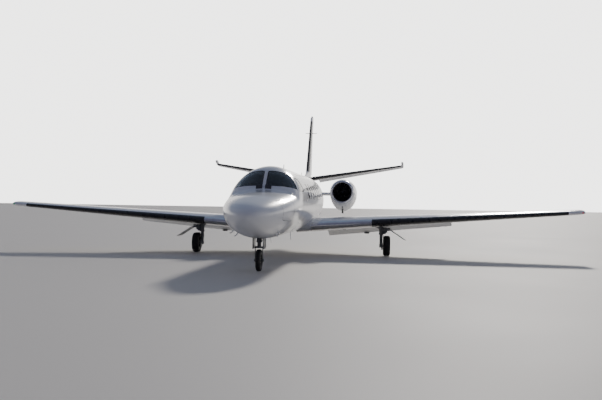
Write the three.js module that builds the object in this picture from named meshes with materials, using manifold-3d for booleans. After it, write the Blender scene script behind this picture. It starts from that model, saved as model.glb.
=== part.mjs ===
// Light twin-engine business jet with a straight wing, parked on its gear.
// Millimetres. +X is the aircraft's left, -Y its nose, +Z up. The origin is on the ground,
// below the middle of its length.
import * as THREE from "three";
import { mergeVertices } from "three/addons/utils/BufferGeometryUtils.js";
import Module from "manifold-3d";

const wasm = await Module();
wasm.setup();

// Driving dimensions
const NOSE_Y = -7450;
const TAIL_END_Y = 6850;
const SHELL_RADIUS = 810;
const SEAT_GAP = 0.4; // between pieces that are fastened together
const RUN_GAP = 6; // round pieces that move
const SKIN_STEPS = 24;

// Joints between the four lengths of the fuselage
const RADOME_JOINT_Y = -6780;
const COCKPIT_JOINT_Y = -5330;
const TAILCONE_JOINT_Y = 1300;
const CABIN_WALL = 60;
const NOSE_WALL = 45;
const TAIL_WALL = 20;

// Fuselage sections: place along the length, half-width, belly, crown, height of the widest line
const FUSELAGE = [
  { y: -7450, half: 12, low: 1158, high: 1182, wide: 1170 },
  { y: -7400, half: 154, low: 1062, high: 1262, wide: 1172 },
  { y: -7300, half: 264, low: 985, high: 1330, wide: 1180 },
  { y: -7100, half: 396, low: 900, high: 1410, wide: 1195 },
  { y: -6800, half: 523, low: 812, high: 1482, wide: 1220 },
  { y: -6400, half: 637, low: 738, high: 1560, wide: 1255 },
  { y: -5900, half: 729, low: 688, high: 1628, wide: 1310 },
  { y: -5300, half: 790, low: 662, high: 1700, wide: 1385 },
  { y: -5220, half: 795, low: 660, high: 1728, wide: 1393 },
  { y: -4970, half: 804, low: 655, high: 1940, wide: 1418 },
  { y: -4720, half: 809, low: 652, high: 2130, wide: 1440 },
  { y: -4450, half: 810, low: 650, high: 2222, wide: 1455 },
  { y: -4050, half: 810, low: 650, high: 2266, wide: 1460 },
  { y: -3500, half: 810, low: 650, high: 2270, wide: 1460 },
  { y: 1300, half: 810, low: 650, high: 2270, wide: 1460 },
  { y: 2300, half: 775, low: 735, high: 2268, wide: 1500 },
  { y: 3300, half: 690, low: 915, high: 2262, wide: 1590 },
  { y: 4300, half: 560, low: 1160, high: 2256, wide: 1710 },
  { y: 5300, half: 400, low: 1425, high: 2250, wide: 1830 },
  { y: 6200, half: 230, low: 1665, high: 2220, wide: 1945 },
  { y: 6700, half: 120, low: 1815, high: 2150, wide: 1985 },
  { y: 6850, half: 60, low: 1900, high: 2065, wide: 1985 },
];

// Windows as outlines on the skin: place along the length, degrees above the widest line
const WINDSHIELD = [
  [-5220, 87.5],
  [-5200, 70],
  [-5125, 50],
  [-5015, 35],
  [-4910, 25.8],
  [-4600, 51],
  [-4660, 70],
  [-4720, 87.5],
];
const SIDE_WINDOW = [
  [-4820, 23],
  [-4500, 17],
  [-4170, 16],
  [-4200, 38],
  [-4450, 45],
  [-4560, 46],
];
const GLASS_INSET = 5;
const GLASS_THICKNESS = 20;
const CABIN_WINDOW = { first: -3050, pitch: 680, count: 6, degrees: 18.7, halfWidth: 160, halfHeight: 195 };
const LINER_THICKNESS = 8;

// Doors
const CABIN_DOOR = { front: -4150, rear: -3500, low: 960, high: 1990, edgeSlope: 0.55 };
const EXIT = { front: -1930, rear: -1450, lowDegrees: -14, highDegrees: 38 };
const NOSE_BAY = { front: -6640, rear: -5560, floor: 1030 };
const NOSE_DOOR = { front: -6480, rear: -5760, hingeZ: 1470, reach: 415, axisOut: 34 };
const REAR_DOOR = { front: 2150, rear: 2850, hingeZ: 1400, reach: 440, axisOut: 14 };
const DOOR_GAP = 6;
const HINGE_GAP = 0.6; // along a door's hinge edge

// Air data tubes on the nose sides: place along the length, degrees on the skin
const AIR_TUBES = [
  [-6250, -48],
  [-6050, -56],
];
const AIR_TUBE = { stand: 70, length: 130 };

// Aerial blades
const CABIN_AERIALS = [
  { x: 0, y: -3930, foot: 700, tip: 505, chord: 130 },
  { x: 260, y: -2170, foot: 700, tip: 505, chord: 150 },
  { x: 0, y: -1650, foot: 2250, tip: 2420, chord: 190 },
];
const TAIL_AERIAL = { x: 0, y: 3150, foot: 2235, tip: 2400, chord: 170 };

// Wing: straight taper, its chord plane rising outboard
const WING = { rootX: 250, tipX: 7955, lead: -805, sweep: 0.079, chord: 2860, taper: 0.219 };
const WING_PLANE = {
  z: 765,
  rise: 0.0661,
  incidence: 1.6,
  rootThickness: 0.14,
  tipThickness: 0.12,
  camber: 0.018,
};
const FLAP = { start: 940, end: 4500, hingeChord: 0.8, restTurn: 35, pin: 14 };
const AILERON = { start: 4560, end: 7300, hingeChord: 0.76, restTurn: 0, pin: 12 };

const JACK_PAD = { x: 1500, low: 205, high: 60, radius: 45 };

// Tailplane half, before it is turned up by its dihedral
const TAILPLANE = {
  z: 2240,
  dihedral: 9,
  tipX: 3310,
  rootLead: 5050,
  tipLead: 5560,
  rootTrail: 6550,
  tipTrail: 6275,
};
const ELEVATOR = { start: 335, hornStart: 3235, hingeY: 6050, restTurn: 15, pin: 9 };

// Fin, by its lowest and highest level
const FIN = {
  lowZ: 2150,
  highZ: 4450,
  topZ: 4500,
  lowLead: 4965,
  highLead: 6550,
  lowTrail: 6600,
  highTrail: 7450,
};
const RUDDER = { lowY: 6430, lowZ: 2430, highY: 7115, highZ: 4400, pin: 9 };
const FIN_FILLET = [
  { y: 4100, half: 30, top: 2275 },
  { y: 4700, half: 70, top: 2390 },
  { y: 5350, half: 95, top: 2570 },
];
const FIN_BARS = { y: 6640, z: 3920, reach: 205, radius: 9 };
const BEACON = { y: 6900, low: 4440, top: 4570, radius: 45, topRadius: 22 };

// Engines
const ENGINE = { x: 1380, z: 1770, lipY: 1250, endY: 4150, fanY: 1760, fanDepth: 90 };
const DUCT_RADIUS = 272;
const FAN_BLADES = 12;
const BAY_RADIUS = 325;
const CORE_RADIUS = 262;
const CORE_FRONT = 1960;
const CORE_REAR = 3300;
const SPIGOT = 34;
const PYLON = {
  z: 1722,
  half: 52,
  innerX: 560,
  innerLead: 1850,
  innerTrail: 4050,
  outerX: 1180,
  outerLead: 1780,
  outerTrail: 4000,
};
const DRAIN_MAST = { y: 1760, high: 1330, low: 1180 };
const NACELLE = [
  { y: 1250, half: 292, low: 1478, high: 2062, wide: 1770 },
  { y: 1275, half: 325, low: 1440, high: 2095, wide: 1770 },
  { y: 1400, half: 358, low: 1380, high: 2128, wide: 1768 },
  { y: 1750, half: 384, low: 1285, high: 2150, wide: 1760 },
  { y: 2250, half: 396, low: 1205, high: 2160, wide: 1745 },
  { y: 2900, half: 386, low: 1222, high: 2152, wide: 1745 },
  { y: 3500, half: 342, low: 1335, high: 2110, wide: 1755 },
  { y: 3950, half: 285, low: 1462, high: 2055, wide: 1765 },
  { y: 4150, half: 262, low: 1505, high: 2032, wide: 1770 },
];

// Gear
const NOSE_WHEEL = { y: -5700, radius: 228.5, half: 55, bore: 20 };
const MAIN_WHEEL = { x: 2680, y: 360, radius: 279.5, half: 100, bore: 34 };
const NOSE_WELL = { half: 103, front: -6010, rear: -5400, top: 960 };
const MAIN_DOOR = { x: 2790, z: 715, width: 480, front: 60, rear: 660, thickness: 14, slant: 33 };
const MAIN_WELL = { inner: 1780, outer: 2640, front: 60, rear: 660, depth: 90 };
const NOSE_GEAR_DOOR = { front: -5880, rear: -5500, low: 466, thickness: 12 };

// Cabin inside
const FLOOR = { low: 985, high: 1010, front: -5300, rear: 1220 };
const SEAT = {
  x: 395,
  half: 195,
  cushionLow: 1180,
  cushionHigh: 1330,
  depth: 460,
  backHigh: 1880,
  backDepth: 110,
};
const PILOT_SEAT_Y = -4640;
const CABIN_SEAT_Y = [-3080, -2250, -1420, -590];
const SEAT_RAIL = { front: -4840, rear: -120, half: 90, high: 1032 };
const BOARD = { front: -5060, rear: -4980, low: 1240, high: 1640 };
const SHELF = { front: -5180, rear: -4960, low: 1625, high: 1650 };
const PEDESTAL = { front: -5020, rear: -4420, half: 130, high: 1290 };
const YOKE = { x: 370, z: 1430, rear: -4800, half: 150, hornHigh: 1530 };

// Finishes
const PAINT = finish("paint", 0xeef0f4, 0.22, 0.1);
const GLASS = finish("glass", 0x2b3238, 0.08, 0);
const METAL = finish("metal", 0xb9bcc2, 0.3, 0.9);
const DARK_METAL = finish("dark_metal", 0x4b4d50, 0.45, 0.8);
const TYRE = finish("tyre", 0x1b1b1c, 0.85, 0);
const LEATHER = finish("leather", 0xb9a68c, 0.6, 0);
const CARPET = finish("carpet", 0x6b655c, 0.95, 0);
const PANEL = finish("panel", 0x26282b, 0.7, 0);

const jet = new THREE.Group();
const rightHalf = new THREE.Group();
rightHalf.scale.x = -1;
jet.add(rightHalf);

function finish(name, color, roughness, metalness) {
  return new THREE.MeshStandardMaterial({ name, color, roughness, metalness });
}

// A closed geometry as a solid, with its faces turned outward
function solidOf(geometry) {
  const plain = geometry.clone();
  plain.deleteAttribute("normal");
  plain.deleteAttribute("uv");
  const merged = mergeVertices(plain, 1e-3);
  const vertProperties = merged.attributes.position.array;
  const triVerts = new Uint32Array(merged.index.array);
  const solid = new wasm.Manifold(new wasm.Mesh({ numProp: 3, vertProperties, triVerts }));
  if (solid.volume() >= 0) return solid;
  triVerts.reverse();
  return new wasm.Manifold(new wasm.Mesh({ numProp: 3, vertProperties, triVerts }));
}

function geometryOf(solid) {
  const mesh = solid.getMesh();
  const geometry = new THREE.BufferGeometry();
  geometry.setAttribute("position", new THREE.BufferAttribute(mesh.vertProperties, 3));
  geometry.setIndex(new THREE.BufferAttribute(mesh.triVerts, 1));
  geometry.computeVertexNormals();
  return geometry;
}

function add(name, solid, material, group = jet) {
  const mesh = new THREE.Mesh(geometryOf(solid), material);
  mesh.name = name;
  group.add(mesh);
}

function addPair(name, solid, material) {
  add(name + "_left", solid, material);
  add(name + "_right", solid, material, rightHalf);
}

function join(solids) {
  return solids.reduce((whole, piece) => whole.add(piece));
}

function largest(solid) {
  return solid.decompose().reduce((best, piece) => (piece.volume() > best.volume() ? piece : best));
}

// A box from its lowest to its highest corner
function box(x0, x1, y0, y1, z0, z1) {
  const geometry = new THREE.BoxGeometry(x1 - x0, y1 - y0, z1 - z0);
  geometry.translate((x0 + x1) / 2, (y0 + y1) / 2, (z0 + z1) / 2);
  return solidOf(geometry);
}

// A round bar between two points, tapered when a second radius is given
function bar(from, to, radius, endRadius = radius, steps = 12) {
  const start = new THREE.Vector3(...from);
  const way = new THREE.Vector3(...to).sub(start);
  const geometry = new THREE.CylinderGeometry(endRadius, radius, way.length(), steps);
  geometry.translate(0, way.length() / 2, 0);
  const turn = new THREE.Quaternion().setFromUnitVectors(new THREE.Vector3(0, 1, 0), way.normalize());
  geometry.applyQuaternion(turn);
  geometry.translate(start.x, start.y, start.z);
  return solidOf(geometry);
}

// A solid of revolution about the Y direction, from pairs of place along it and radius
function turned(x, z, profile, steps) {
  const points = profile.map(([y, radius]) => new THREE.Vector2(radius, y));
  const geometry = new THREE.LatheGeometry(points, steps);
  geometry.translate(x, 0, z);
  return solidOf(geometry);
}

// A closed body through rings of points, with a flat cap on both ends
function loft(rings) {
  const steps = rings[0].length;
  const corners = rings.flat().flatMap((p) => [p.x, p.y, p.z]);
  const faces = [];
  for (let r = 0; r + 1 < rings.length; r++)
    for (let i = 0; i < steps; i++) {
      const a = r * steps + i;
      const b = r * steps + ((i + 1) % steps);
      // The diagonals of the two sides mirror each other
      const rightSide = rings[r][i].x + rings[r][(i + 1) % steps].x < 0;
      if (rightSide) faces.push(a, b, b + steps, a, b + steps, a + steps);
      else faces.push(a, b, a + steps, b, b + steps, a + steps);
    }
  for (const [ring, start, back] of [
    [rings[0], 0, true],
    [rings.at(-1), (rings.length - 1) * steps, false],
  ]) {
    const middle = ring.reduce((sum, p) => sum.add(p), new THREE.Vector3()).divideScalar(steps);
    const centre = corners.length / 3;
    corners.push(middle.x, middle.y, middle.z);
    for (let i = 0; i < steps; i++) {
      const edge = [start + i, start + ((i + 1) % steps)];
      if (back) edge.reverse();
      faces.push(centre, ...edge);
    }
  }
  const geometry = new THREE.BufferGeometry();
  geometry.setAttribute("position", new THREE.Float32BufferAttribute(corners, 3));
  geometry.setIndex(faces);
  return solidOf(geometry);
}

// The section of a streamlined body at a place along its length, between the rows of its table
function sectionAt(table, y) {
  const next = Math.min(Math.max(table.findIndex((row) => row.y > y), 1), table.length - 1);
  const after = y >= table.at(-1).y ? table.length - 1 : next;
  const [a, b] = [table[after - 1], table[after]];
  const t = Math.min(Math.max((y - a.y) / (b.y - a.y), 0), 1);
  const between = (key) => a[key] + (b[key] - a[key]) * t;
  return { y, half: between("half"), low: between("low"), high: between("high"), wide: between("wide") };
}

// A point on a body's surface, or a given depth below it
function skinPoint(table, y, degrees, depth, x = 0) {
  const row = sectionAt(table, y);
  const angle = THREE.MathUtils.degToRad(degrees);
  const reach = Math.sin(angle) > 0 ? row.high - row.wide : row.wide - row.low;
  const across = Math.max(row.half - depth, 2) * Math.cos(angle);
  const up = Math.max(reach - depth, 2) * Math.sin(angle);
  return new THREE.Vector3(x + across, y, row.wide + up);
}

// A length of a streamlined body, its surface moved inward by a depth
function bodyLength(table, from, to, depth, x = 0, steps = SKIN_STEPS) {
  const places = [from, ...table.map((row) => row.y).filter((y) => y > from + 1 && y < to - 1), to];
  return loft(
    places.map((y) => {
      const ring = [];
      for (let i = 0; i < steps; i++) ring.push(skinPoint(table, y, (360 * i) / steps, depth, x));
      return ring;
    }),
  );
}

// An outline on the skin moved outward by a distance on all sides. Degrees count as lengths on the skin.
function grownOutline(outline, distance) {
  const perDegree = (Math.PI * SHELL_RADIUS) / 180;
  const flat = outline.map(([y, degrees]) => new THREE.Vector2(y, degrees * perDegree));
  const middle = flat.reduce((sum, p) => sum.add(p), new THREE.Vector2()).divideScalar(flat.length);
  const lines = flat.map((p, i) => {
    const way = flat[(i + 1) % flat.length].clone().sub(p).normalize();
    const out = new THREE.Vector2(way.y, -way.x);
    if (out.dot(p.clone().sub(middle)) < 0) out.negate();
    return { start: p.clone().addScaledVector(out, distance), way };
  });
  return lines.map((line, i) => {
    const before = lines.at(i - 1);
    const span = line.start.clone().sub(before.start);
    const cross = before.way.cross(line.way);
    if (Math.abs(cross) < 1e-6) return [line.start.x, line.start.y / perDegree];
    const p = before.start.clone().addScaledVector(before.way, span.cross(line.way) / cross);
    return [p.x, p.y / perDegree];
  });
}

// A cutter through the skin along an outline on it, from well outside it to well inside it
function skinCutter(outline, grow = 0, mirror = false) {
  const edge = grownOutline(outline, grow);
  const dense = edge.flatMap(([y, degrees], i) => {
    const [nextY, nextDegrees] = edge[(i + 1) % edge.length];
    const steps = Math.ceil(Math.hypot(nextY - y, (nextDegrees - degrees) * 14) / 160);
    return Array.from({ length: steps }, (_, k) => [
      y + ((nextY - y) * k) / steps,
      degrees + ((nextDegrees - degrees) * k) / steps,
    ]);
  });
  const layers = [-160, 190].map((depth) =>
    dense.map(([y, degrees]) => skinPoint(FUSELAGE, y, degrees, depth)),
  );
  const flip = mirror ? -1 : 1;
  const corners = layers.flat().flatMap((p) => [p.x * flip, p.y, p.z]);
  const flat = dense.map(([y, degrees]) => new THREE.Vector2(y, degrees * 14));
  const count = dense.length;
  const faces = [];
  // The sides run the way round that the caps do
  const clockwise = THREE.ShapeUtils.isClockWise(flat);
  for (const [a, b, c] of THREE.ShapeUtils.triangulateShape(flat, [])) {
    faces.push(a, b, c);
    faces.push(a + count, c + count, b + count);
  }
  for (let i = 0; i < count; i++) {
    const j = (i + 1) % count;
    if (clockwise) faces.push(i, j, i + count, j, j + count, i + count);
    else faces.push(j, i, i + count, j, i + count, j + count);
  }
  const geometry = new THREE.BufferGeometry();
  geometry.setAttribute("position", new THREE.Float32BufferAttribute(corners, 3));
  geometry.setIndex(faces);
  return solidOf(geometry);
}

// The rounded outline of a cabin window
function cabinWindow(y) {
  const outline = [];
  for (let i = 0; i < 12; i++) {
    const angle = (2 * Math.PI * (i + 0.5)) / 12;
    const round = (v) => Math.sign(v) * Math.abs(v) ** 0.55;
    const along = y + CABIN_WINDOW.halfWidth * round(Math.cos(angle));
    const up = (CABIN_WINDOW.halfHeight * round(Math.sin(angle)) * 180) / (Math.PI * SHELL_RADIUS);
    outline.push([along, CABIN_WINDOW.degrees + up]);
  }
  return outline;
}

// The points of an aerofoil section on a plane across the span
function aerofoil({ x, lead, chord, z, thickness, camber = 0, incidence = 0, upright = false }) {
  const steps = 9;
  const places = Array.from({ length: steps + 1 }, (_, i) => (1 - Math.cos((Math.PI * i) / steps)) / 2);
  const half = (t) =>
    5 * thickness * (0.2969 * Math.sqrt(t) - 0.126 * t - 0.3516 * t ** 2 + 0.2843 * t ** 3 - 0.1015 * t ** 4);
  const middle = (t) => camber * 4 * t * (1 - t);
  const upper = places.map((t) => [t, middle(t) + half(t)]);
  const lower = places.slice(1).map((t) => [t, middle(t) - half(t)]);
  const tilt = THREE.MathUtils.degToRad(incidence);
  return [...upper.reverse(), ...lower].map(([t, up]) => {
    const along = (t - 0.25) * Math.cos(tilt) + up * Math.sin(tilt);
    const rise = up * Math.cos(tilt) - (t - 0.25) * Math.sin(tilt);
    const y = lead + (0.25 + along) * chord;
    return upright ? new THREE.Vector3(rise * chord, y, z) : new THREE.Vector3(x, y, z + rise * chord);
  });
}

// A box in a hinge's own frame: along the hinge from its start, behind it, and above it
function hingeFrame(start, end) {
  const along = end.clone().sub(start).normalize();
  const level = new THREE.Vector3(0, 1, 0).addScaledVector(along, -along.y).normalize();
  const up = along.clone().cross(level);
  return new THREE.Matrix4().makeBasis(along, level, up).setPosition(start);
}

function hingeBox(frame, x0, x1, y0, y1, z0, z1) {
  const geometry = new THREE.BoxGeometry(x1 - x0, y1 - y0, z1 - z0);
  geometry.translate((x0 + x1) / 2, (y0 + y1) / 2, (z0 + z1) / 2);
  return solidOf(geometry.applyMatrix4(frame));
}

function transformed(solid, matrix) {
  const geometry = geometryOf(solid);
  geometry.deleteAttribute("normal");
  return solidOf(geometry.applyMatrix4(matrix));
}

function turnAbout(start, end, degrees) {
  const axis = end.clone().sub(start).normalize();
  const turn = new THREE.Matrix4().makeRotationAxis(axis, THREE.MathUtils.degToRad(degrees));
  const back = new THREE.Matrix4().makeTranslation(start.x, start.y, start.z);
  const away = new THREE.Matrix4().makeTranslation(-start.x, -start.y, -start.z);
  return back.multiply(turn).multiply(away);
}

// Splits a wing or tail surface at a hinge into its fixed part and its moving part.
// noses are the half-thicknesses of the surface at both ends of the hinge.
function splitSurface(whole, start, end, noses, pin, restTurn, extra = null) {
  const frame = hingeFrame(start, end);
  const length = end.distanceTo(start);
  const reach = 1500;
  const clear = Math.max(...noses) + 8;
  let fixed = whole.subtract(hingeBox(frame, -RUN_GAP, length + RUN_GAP, -clear, reach, -reach, reach));
  const nose = bar([0, 0, 0], [length, 0, 0], noses[0] * 0.92, noses[1] * 0.92);
  const pinBar = bar([-RUN_GAP + SEAT_GAP, 0, 0], [length + RUN_GAP - SEAT_GAP, 0, 0], pin);
  let moving = join([
    whole.intersect(hingeBox(frame, 0, length, 0, reach, -reach, reach)),
    transformed(nose, frame),
    transformed(pinBar, frame),
  ]);
  if (extra) {
    moving = moving.add(extra.moving);
    fixed = fixed.subtract(extra.space);
  }
  return { fixed: largest(fixed), moving: transformed(moving, turnAbout(start, end, -restTurn)) };
}

const fuselage = bodyLength(FUSELAGE, NOSE_Y, TAIL_END_Y, 0);
const fuselageSpace = bodyLength(FUSELAGE, NOSE_Y, TAIL_END_Y, -SEAT_GAP);

// Fuselage skin x at a height, from its table
function skinX(y, z) {
  const row = sectionAt(FUSELAGE, y);
  const reach = z > row.wide ? row.high - row.wide : row.wide - row.low;
  return row.half * Math.sqrt(Math.max(1 - ((z - row.wide) / reach) ** 2, 0));
}

function fuselageLength(from, to) {
  return bodyLength(FUSELAGE, from, to - SEAT_GAP, 0);
}

// A lid on the left side that hinges along its straight top edge. Its lower edge keeps one
// distance from the hinge, so that it swings clear of the frame.
function sideLid(door) {
  const [start, end] = [door.front, door.rear].map(
    (y) => new THREE.Vector3(skinX(y, door.hingeZ), y, door.hingeZ),
  );
  const way = end.clone().sub(start).normalize();
  const out = new THREE.Vector3(way.y, -way.x, 0);
  start.addScaledVector(out, door.axisOut);
  end.addScaledVector(out, door.axisOut);
  const frame = new THREE.Matrix4().makeBasis(way, out.negate(), new THREE.Vector3(0, 0, 1)).setPosition(start);
  const length = end.distanceTo(start);
  const sweep = (radius) => transformed(bar([-1, 0, 0], [length + 1, 0, 0], radius, radius, 48), frame);
  const part = (gap, top, reach) =>
    hingeBox(frame, gap, length - gap, -reach, reach, -reach, top).intersect(sweep(reach));
  return { space: part(0, 0, door.reach), lid: part(DOOR_GAP, -HINGE_GAP, door.reach - DOOR_GAP) };
}

// The door's opening: its rear edge leans so that the door swings clear of the wall
function cabinDoorCutter(gap, hingeGap) {
  const { front, rear, low, high, edgeSlope } = CABIN_DOOR;
  const [inside, outside] = [250, 1000];
  const rings = [];
  for (let i = 0; i <= 8; i++) {
    const z = low + gap + ((high - low - 2 * gap) * i) / 8;
    const rearAt = (x) => rear - gap + edgeSlope * (x - skinX(rear, z));
    rings.push([
      new THREE.Vector3(inside, front + hingeGap, z),
      new THREE.Vector3(outside, front + hingeGap, z),
      new THREE.Vector3(outside, rearAt(outside), z),
      new THREE.Vector3(inside, rearAt(inside), z),
    ]);
  }
  return loft(rings);
}

function makeNose() {
  add("radome", bodyLength(FUSELAGE, NOSE_Y, RADOME_JOINT_Y - SEAT_GAP, 0), PAINT);
  const { front, rear, floor } = NOSE_BAY;
  const bay = bodyLength(FUSELAGE, front, rear, NOSE_WALL).intersect(box(-900, 900, front, rear, floor, 2000));
  const shell = fuselageLength(RADOME_JOINT_Y, COCKPIT_JOINT_Y);
  const wall = shell.subtract(bay);
  const { space, lid } = sideLid(NOSE_DOOR);
  addPair("nose_bay_door", largest(wall.intersect(lid)), PAINT);
  const flip = new THREE.Matrix4().makeScale(-1, 1, 1);
  const well = box(-NOSE_WELL.half, NOSE_WELL.half, NOSE_WELL.front, NOSE_WELL.rear, 400, NOSE_WELL.top);
  const cut = wall.subtract(space).subtract(transformed(space, flip)).subtract(well);
  add("nose_section", cut.add(pitotTubes()), PAINT);
}

// Two pairs of small air data tubes under the nose sides
function pitotTubes() {
  const tubes = [];
  for (const side of [-1, 1])
    for (const [y, degrees] of AIR_TUBES) {
      const foot = skinPoint(FUSELAGE, y, degrees, 12);
      const knee = skinPoint(FUSELAGE, y - 10, degrees, -AIR_TUBE.stand);
      tubes.push(bar([side * foot.x, foot.y, foot.z], [side * knee.x, knee.y, knee.z], 14, 10, 8));
      const tip = [side * knee.x, knee.y - AIR_TUBE.length, knee.z];
      tubes.push(bar([side * knee.x, knee.y + 12, knee.z], tip, 11, 8, 8));
    }
  return join(tubes);
}

// A thin swept blade standing on the skin
function blade({ x, y, foot, tip, chord }) {
  const lean = Math.abs(tip - foot) * 0.45;
  const ring = (z, lead, length, half) => [
    new THREE.Vector3(x, lead, z),
    new THREE.Vector3(x + half, lead + length * 0.35, z),
    new THREE.Vector3(x, lead + length, z),
    new THREE.Vector3(x - half, lead + length * 0.35, z),
  ];
  return loft([ring(foot, y, chord, 12), ring(tip, y + lean, chord * 0.6, 6)]);
}

function makeCabin() {
  const inner = bodyLength(FUSELAGE, COCKPIT_JOINT_Y - 5, TAILCONE_JOINT_Y - 70, CABIN_WALL);
  const wall = fuselageLength(COCKPIT_JOINT_Y, TAILCONE_JOINT_Y).subtract(inner);
  const band = bodyLength(FUSELAGE, COCKPIT_JOINT_Y, -3900, GLASS_INSET).subtract(
    bodyLength(FUSELAGE, COCKPIT_JOINT_Y - 5, -3895, GLASS_INSET + GLASS_THICKNESS),
  );
  addPair("windshield", band.intersect(skinCutter(WINDSHIELD, -SEAT_GAP)), GLASS);
  addPair("side_window", band.intersect(skinCutter(SIDE_WINDOW, -SEAT_GAP)), GLASS);
  const cutters = [];
  for (const mirror of [false, true]) {
    cutters.push(skinCutter(WINDSHIELD, 0, mirror), skinCutter(SIDE_WINDOW, 0, mirror));
    for (let i = mirror ? -1 : 0; i < CABIN_WINDOW.count; i++)
      cutters.push(skinCutter(cabinWindow(CABIN_WINDOW.first + i * CABIN_WINDOW.pitch), 0, mirror));
  }
  const exitOutline = [
    [EXIT.front, EXIT.lowDegrees],
    [EXIT.rear, EXIT.lowDegrees],
    [EXIT.rear, EXIT.highDegrees],
    [EXIT.front, EXIT.highDegrees],
  ];
  const windows = join(cutters);
  add("emergency_exit", wall.intersect(skinCutter(exitOutline, -SEAT_GAP, true)).subtract(windows), PAINT);
  add("cabin_door", wall.intersect(cabinDoorCutter(DOOR_GAP, HINGE_GAP)), PAINT);
  const aerials = join(CABIN_AERIALS.map(blade));
  const cut = wall.subtract(windows).subtract(skinCutter(exitOutline, 0, true)).subtract(cabinDoorCutter(0, 0));
  add("cabin_shell", cut.add(aerials.subtract(inner)), PAINT);
  makeGlazing();
  makeCabinInside();
}

// The inner window panes: one curved clear liner along each side of the cabin
function makeGlazing() {
  const { first, pitch, count, degrees } = CABIN_WINDOW;
  const ends = { left: first - 220, right: first - pitch - 220 };
  const rear = first + pitch * (count - 1) + 220;
  const low = sectionAt(FUSELAGE, 0).wide + SHELL_RADIUS * Math.sin(THREE.MathUtils.degToRad(degrees - 15));
  const high = low + 400;
  for (const [side, front] of Object.entries(ends)) {
    const outer = bodyLength(FUSELAGE, front, rear, CABIN_WALL + SEAT_GAP);
    const tube = outer.subtract(bodyLength(FUSELAGE, front - 5, rear + 5, CABIN_WALL + LINER_THICKNESS));
    const [x0, x1] = side === "left" ? [0, 900] : [-900, 0];
    add("cabin_glazing_" + side, tube.intersect(box(x0, x1, front - 9, rear + 9, low, high)), GLASS);
  }
}

function makeCabinInside() {
  const inside = bodyLength(FUSELAGE, FLOOR.front, FLOOR.rear, CABIN_WALL + SEAT_GAP);
  add("cabin_floor", inside.intersect(box(-800, 800, FLOOR.front, FLOOR.rear, FLOOR.low, FLOOR.high)), CARPET);
  const across = (part) => inside.intersect(box(-900, 900, part.front, part.rear, part.low, part.high));
  const { half, front, rear, high } = PEDESTAL;
  const pedestal = box(-half, half, front, rear, FLOOR.high + SEAT_GAP, high);
  add("instrument_panel", join([across(BOARD), across(SHELF), pedestal, yoke(-1), yoke(1)]), PANEL);
  for (const side of ["left", "right"]) {
    const [x0, x1] = [SEAT.x - SEAT_RAIL.half, SEAT.x + SEAT_RAIL.half];
    const rail = box(x0, x1, SEAT_RAIL.front, SEAT_RAIL.rear, FLOOR.high + SEAT_GAP, SEAT_RAIL.high);
    const row = join([rail, ...[PILOT_SEAT_Y, ...CABIN_SEAT_Y].flatMap(seat)]);
    add("seats_" + side, row, LEATHER, side === "left" ? jet : rightHalf);
  }
}

// A control yoke on its bar out of the instrument board
function yoke(side) {
  const { x, z, rear, half, hornHigh } = YOKE;
  const middle = side * x;
  const horn = (from, to, top) => box(middle + from, middle + to, rear - 15, rear + 15, z - 20, top);
  return join([
    bar([middle, BOARD.rear - 20, z], [middle, rear, z], 22, 22, 10),
    horn(-half, half, z + 20),
    horn(-half, 30 - half, hornHigh),
    horn(half - 30, half, hornHigh),
  ]);
}

// One seat: a pedestal, a cushion and a reclined back
function seat(y) {
  const { x, half, cushionLow, cushionHigh, depth, backHigh, backDepth } = SEAT;
  const back = box(x - half, x + half, -backDepth / 2, backDepth / 2, 0, backHigh - cushionHigh + 60);
  const lean = new THREE.Matrix4()
    .makeTranslation(0, y + depth - 20, cushionHigh - 60)
    .multiply(new THREE.Matrix4().makeRotationX(THREE.MathUtils.degToRad(-12)));
  return [
    box(x - 120, x + 120, y + 60, y + depth - 60, FLOOR.high + 10, cushionLow + 10),
    box(x - half, x + half, y, y + depth, cushionLow, cushionHigh),
    transformed(back, lean),
  ];
}

function makeTailcone(tailplaneSpace) {
  const outer = bodyLength(FUSELAGE, TAILCONE_JOINT_Y, TAIL_END_Y, 0);
  const inner = bodyLength(FUSELAGE, TAILCONE_JOINT_Y - 5, 6500, TAIL_WALL);
  const wall = outer.subtract(inner);
  const { space, lid } = sideLid(REAR_DOOR);
  add("rear_bay_door", largest(wall.intersect(lid)), PAINT);
  const aerial = blade(TAIL_AERIAL).subtract(inner);
  add("tailcone", largest(wall.subtract(space).add(aerial).subtract(tailplaneSpace)), PAINT);
}

function wingSection(x, shrink = 1) {
  const t = (x - WING.rootX) / (WING.tipX - WING.rootX);
  const { z, rise, incidence, rootThickness, tipThickness, camber } = WING_PLANE;
  const chord = WING.chord - WING.taper * x;
  const thickness = rootThickness + (tipThickness - rootThickness) * t;
  const lead = WING.lead + WING.sweep * x + chord * (1 - shrink) * 0.35;
  return aerofoil({
    x,
    lead,
    chord: chord * shrink,
    z: z + rise * x,
    thickness: thickness * (0.4 + 0.6 * shrink),
    camber,
    incidence: incidence * (1 - t),
  });
}

// A point on the wing's chord line, at a part of the chord
function wingChordPoint(x, part) {
  const t = (x - WING.rootX) / (WING.tipX - WING.rootX);
  const chord = WING.chord - WING.taper * x;
  const drop = (part - 0.25) * chord * Math.sin(THREE.MathUtils.degToRad(WING_PLANE.incidence * (1 - t)));
  const bow = WING_PLANE.camber * 4 * part * (1 - part) * chord;
  const z = WING_PLANE.z + WING_PLANE.rise * x - drop + bow;
  return new THREE.Vector3(x, WING.lead + WING.sweep * x + part * chord, z);
}

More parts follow.
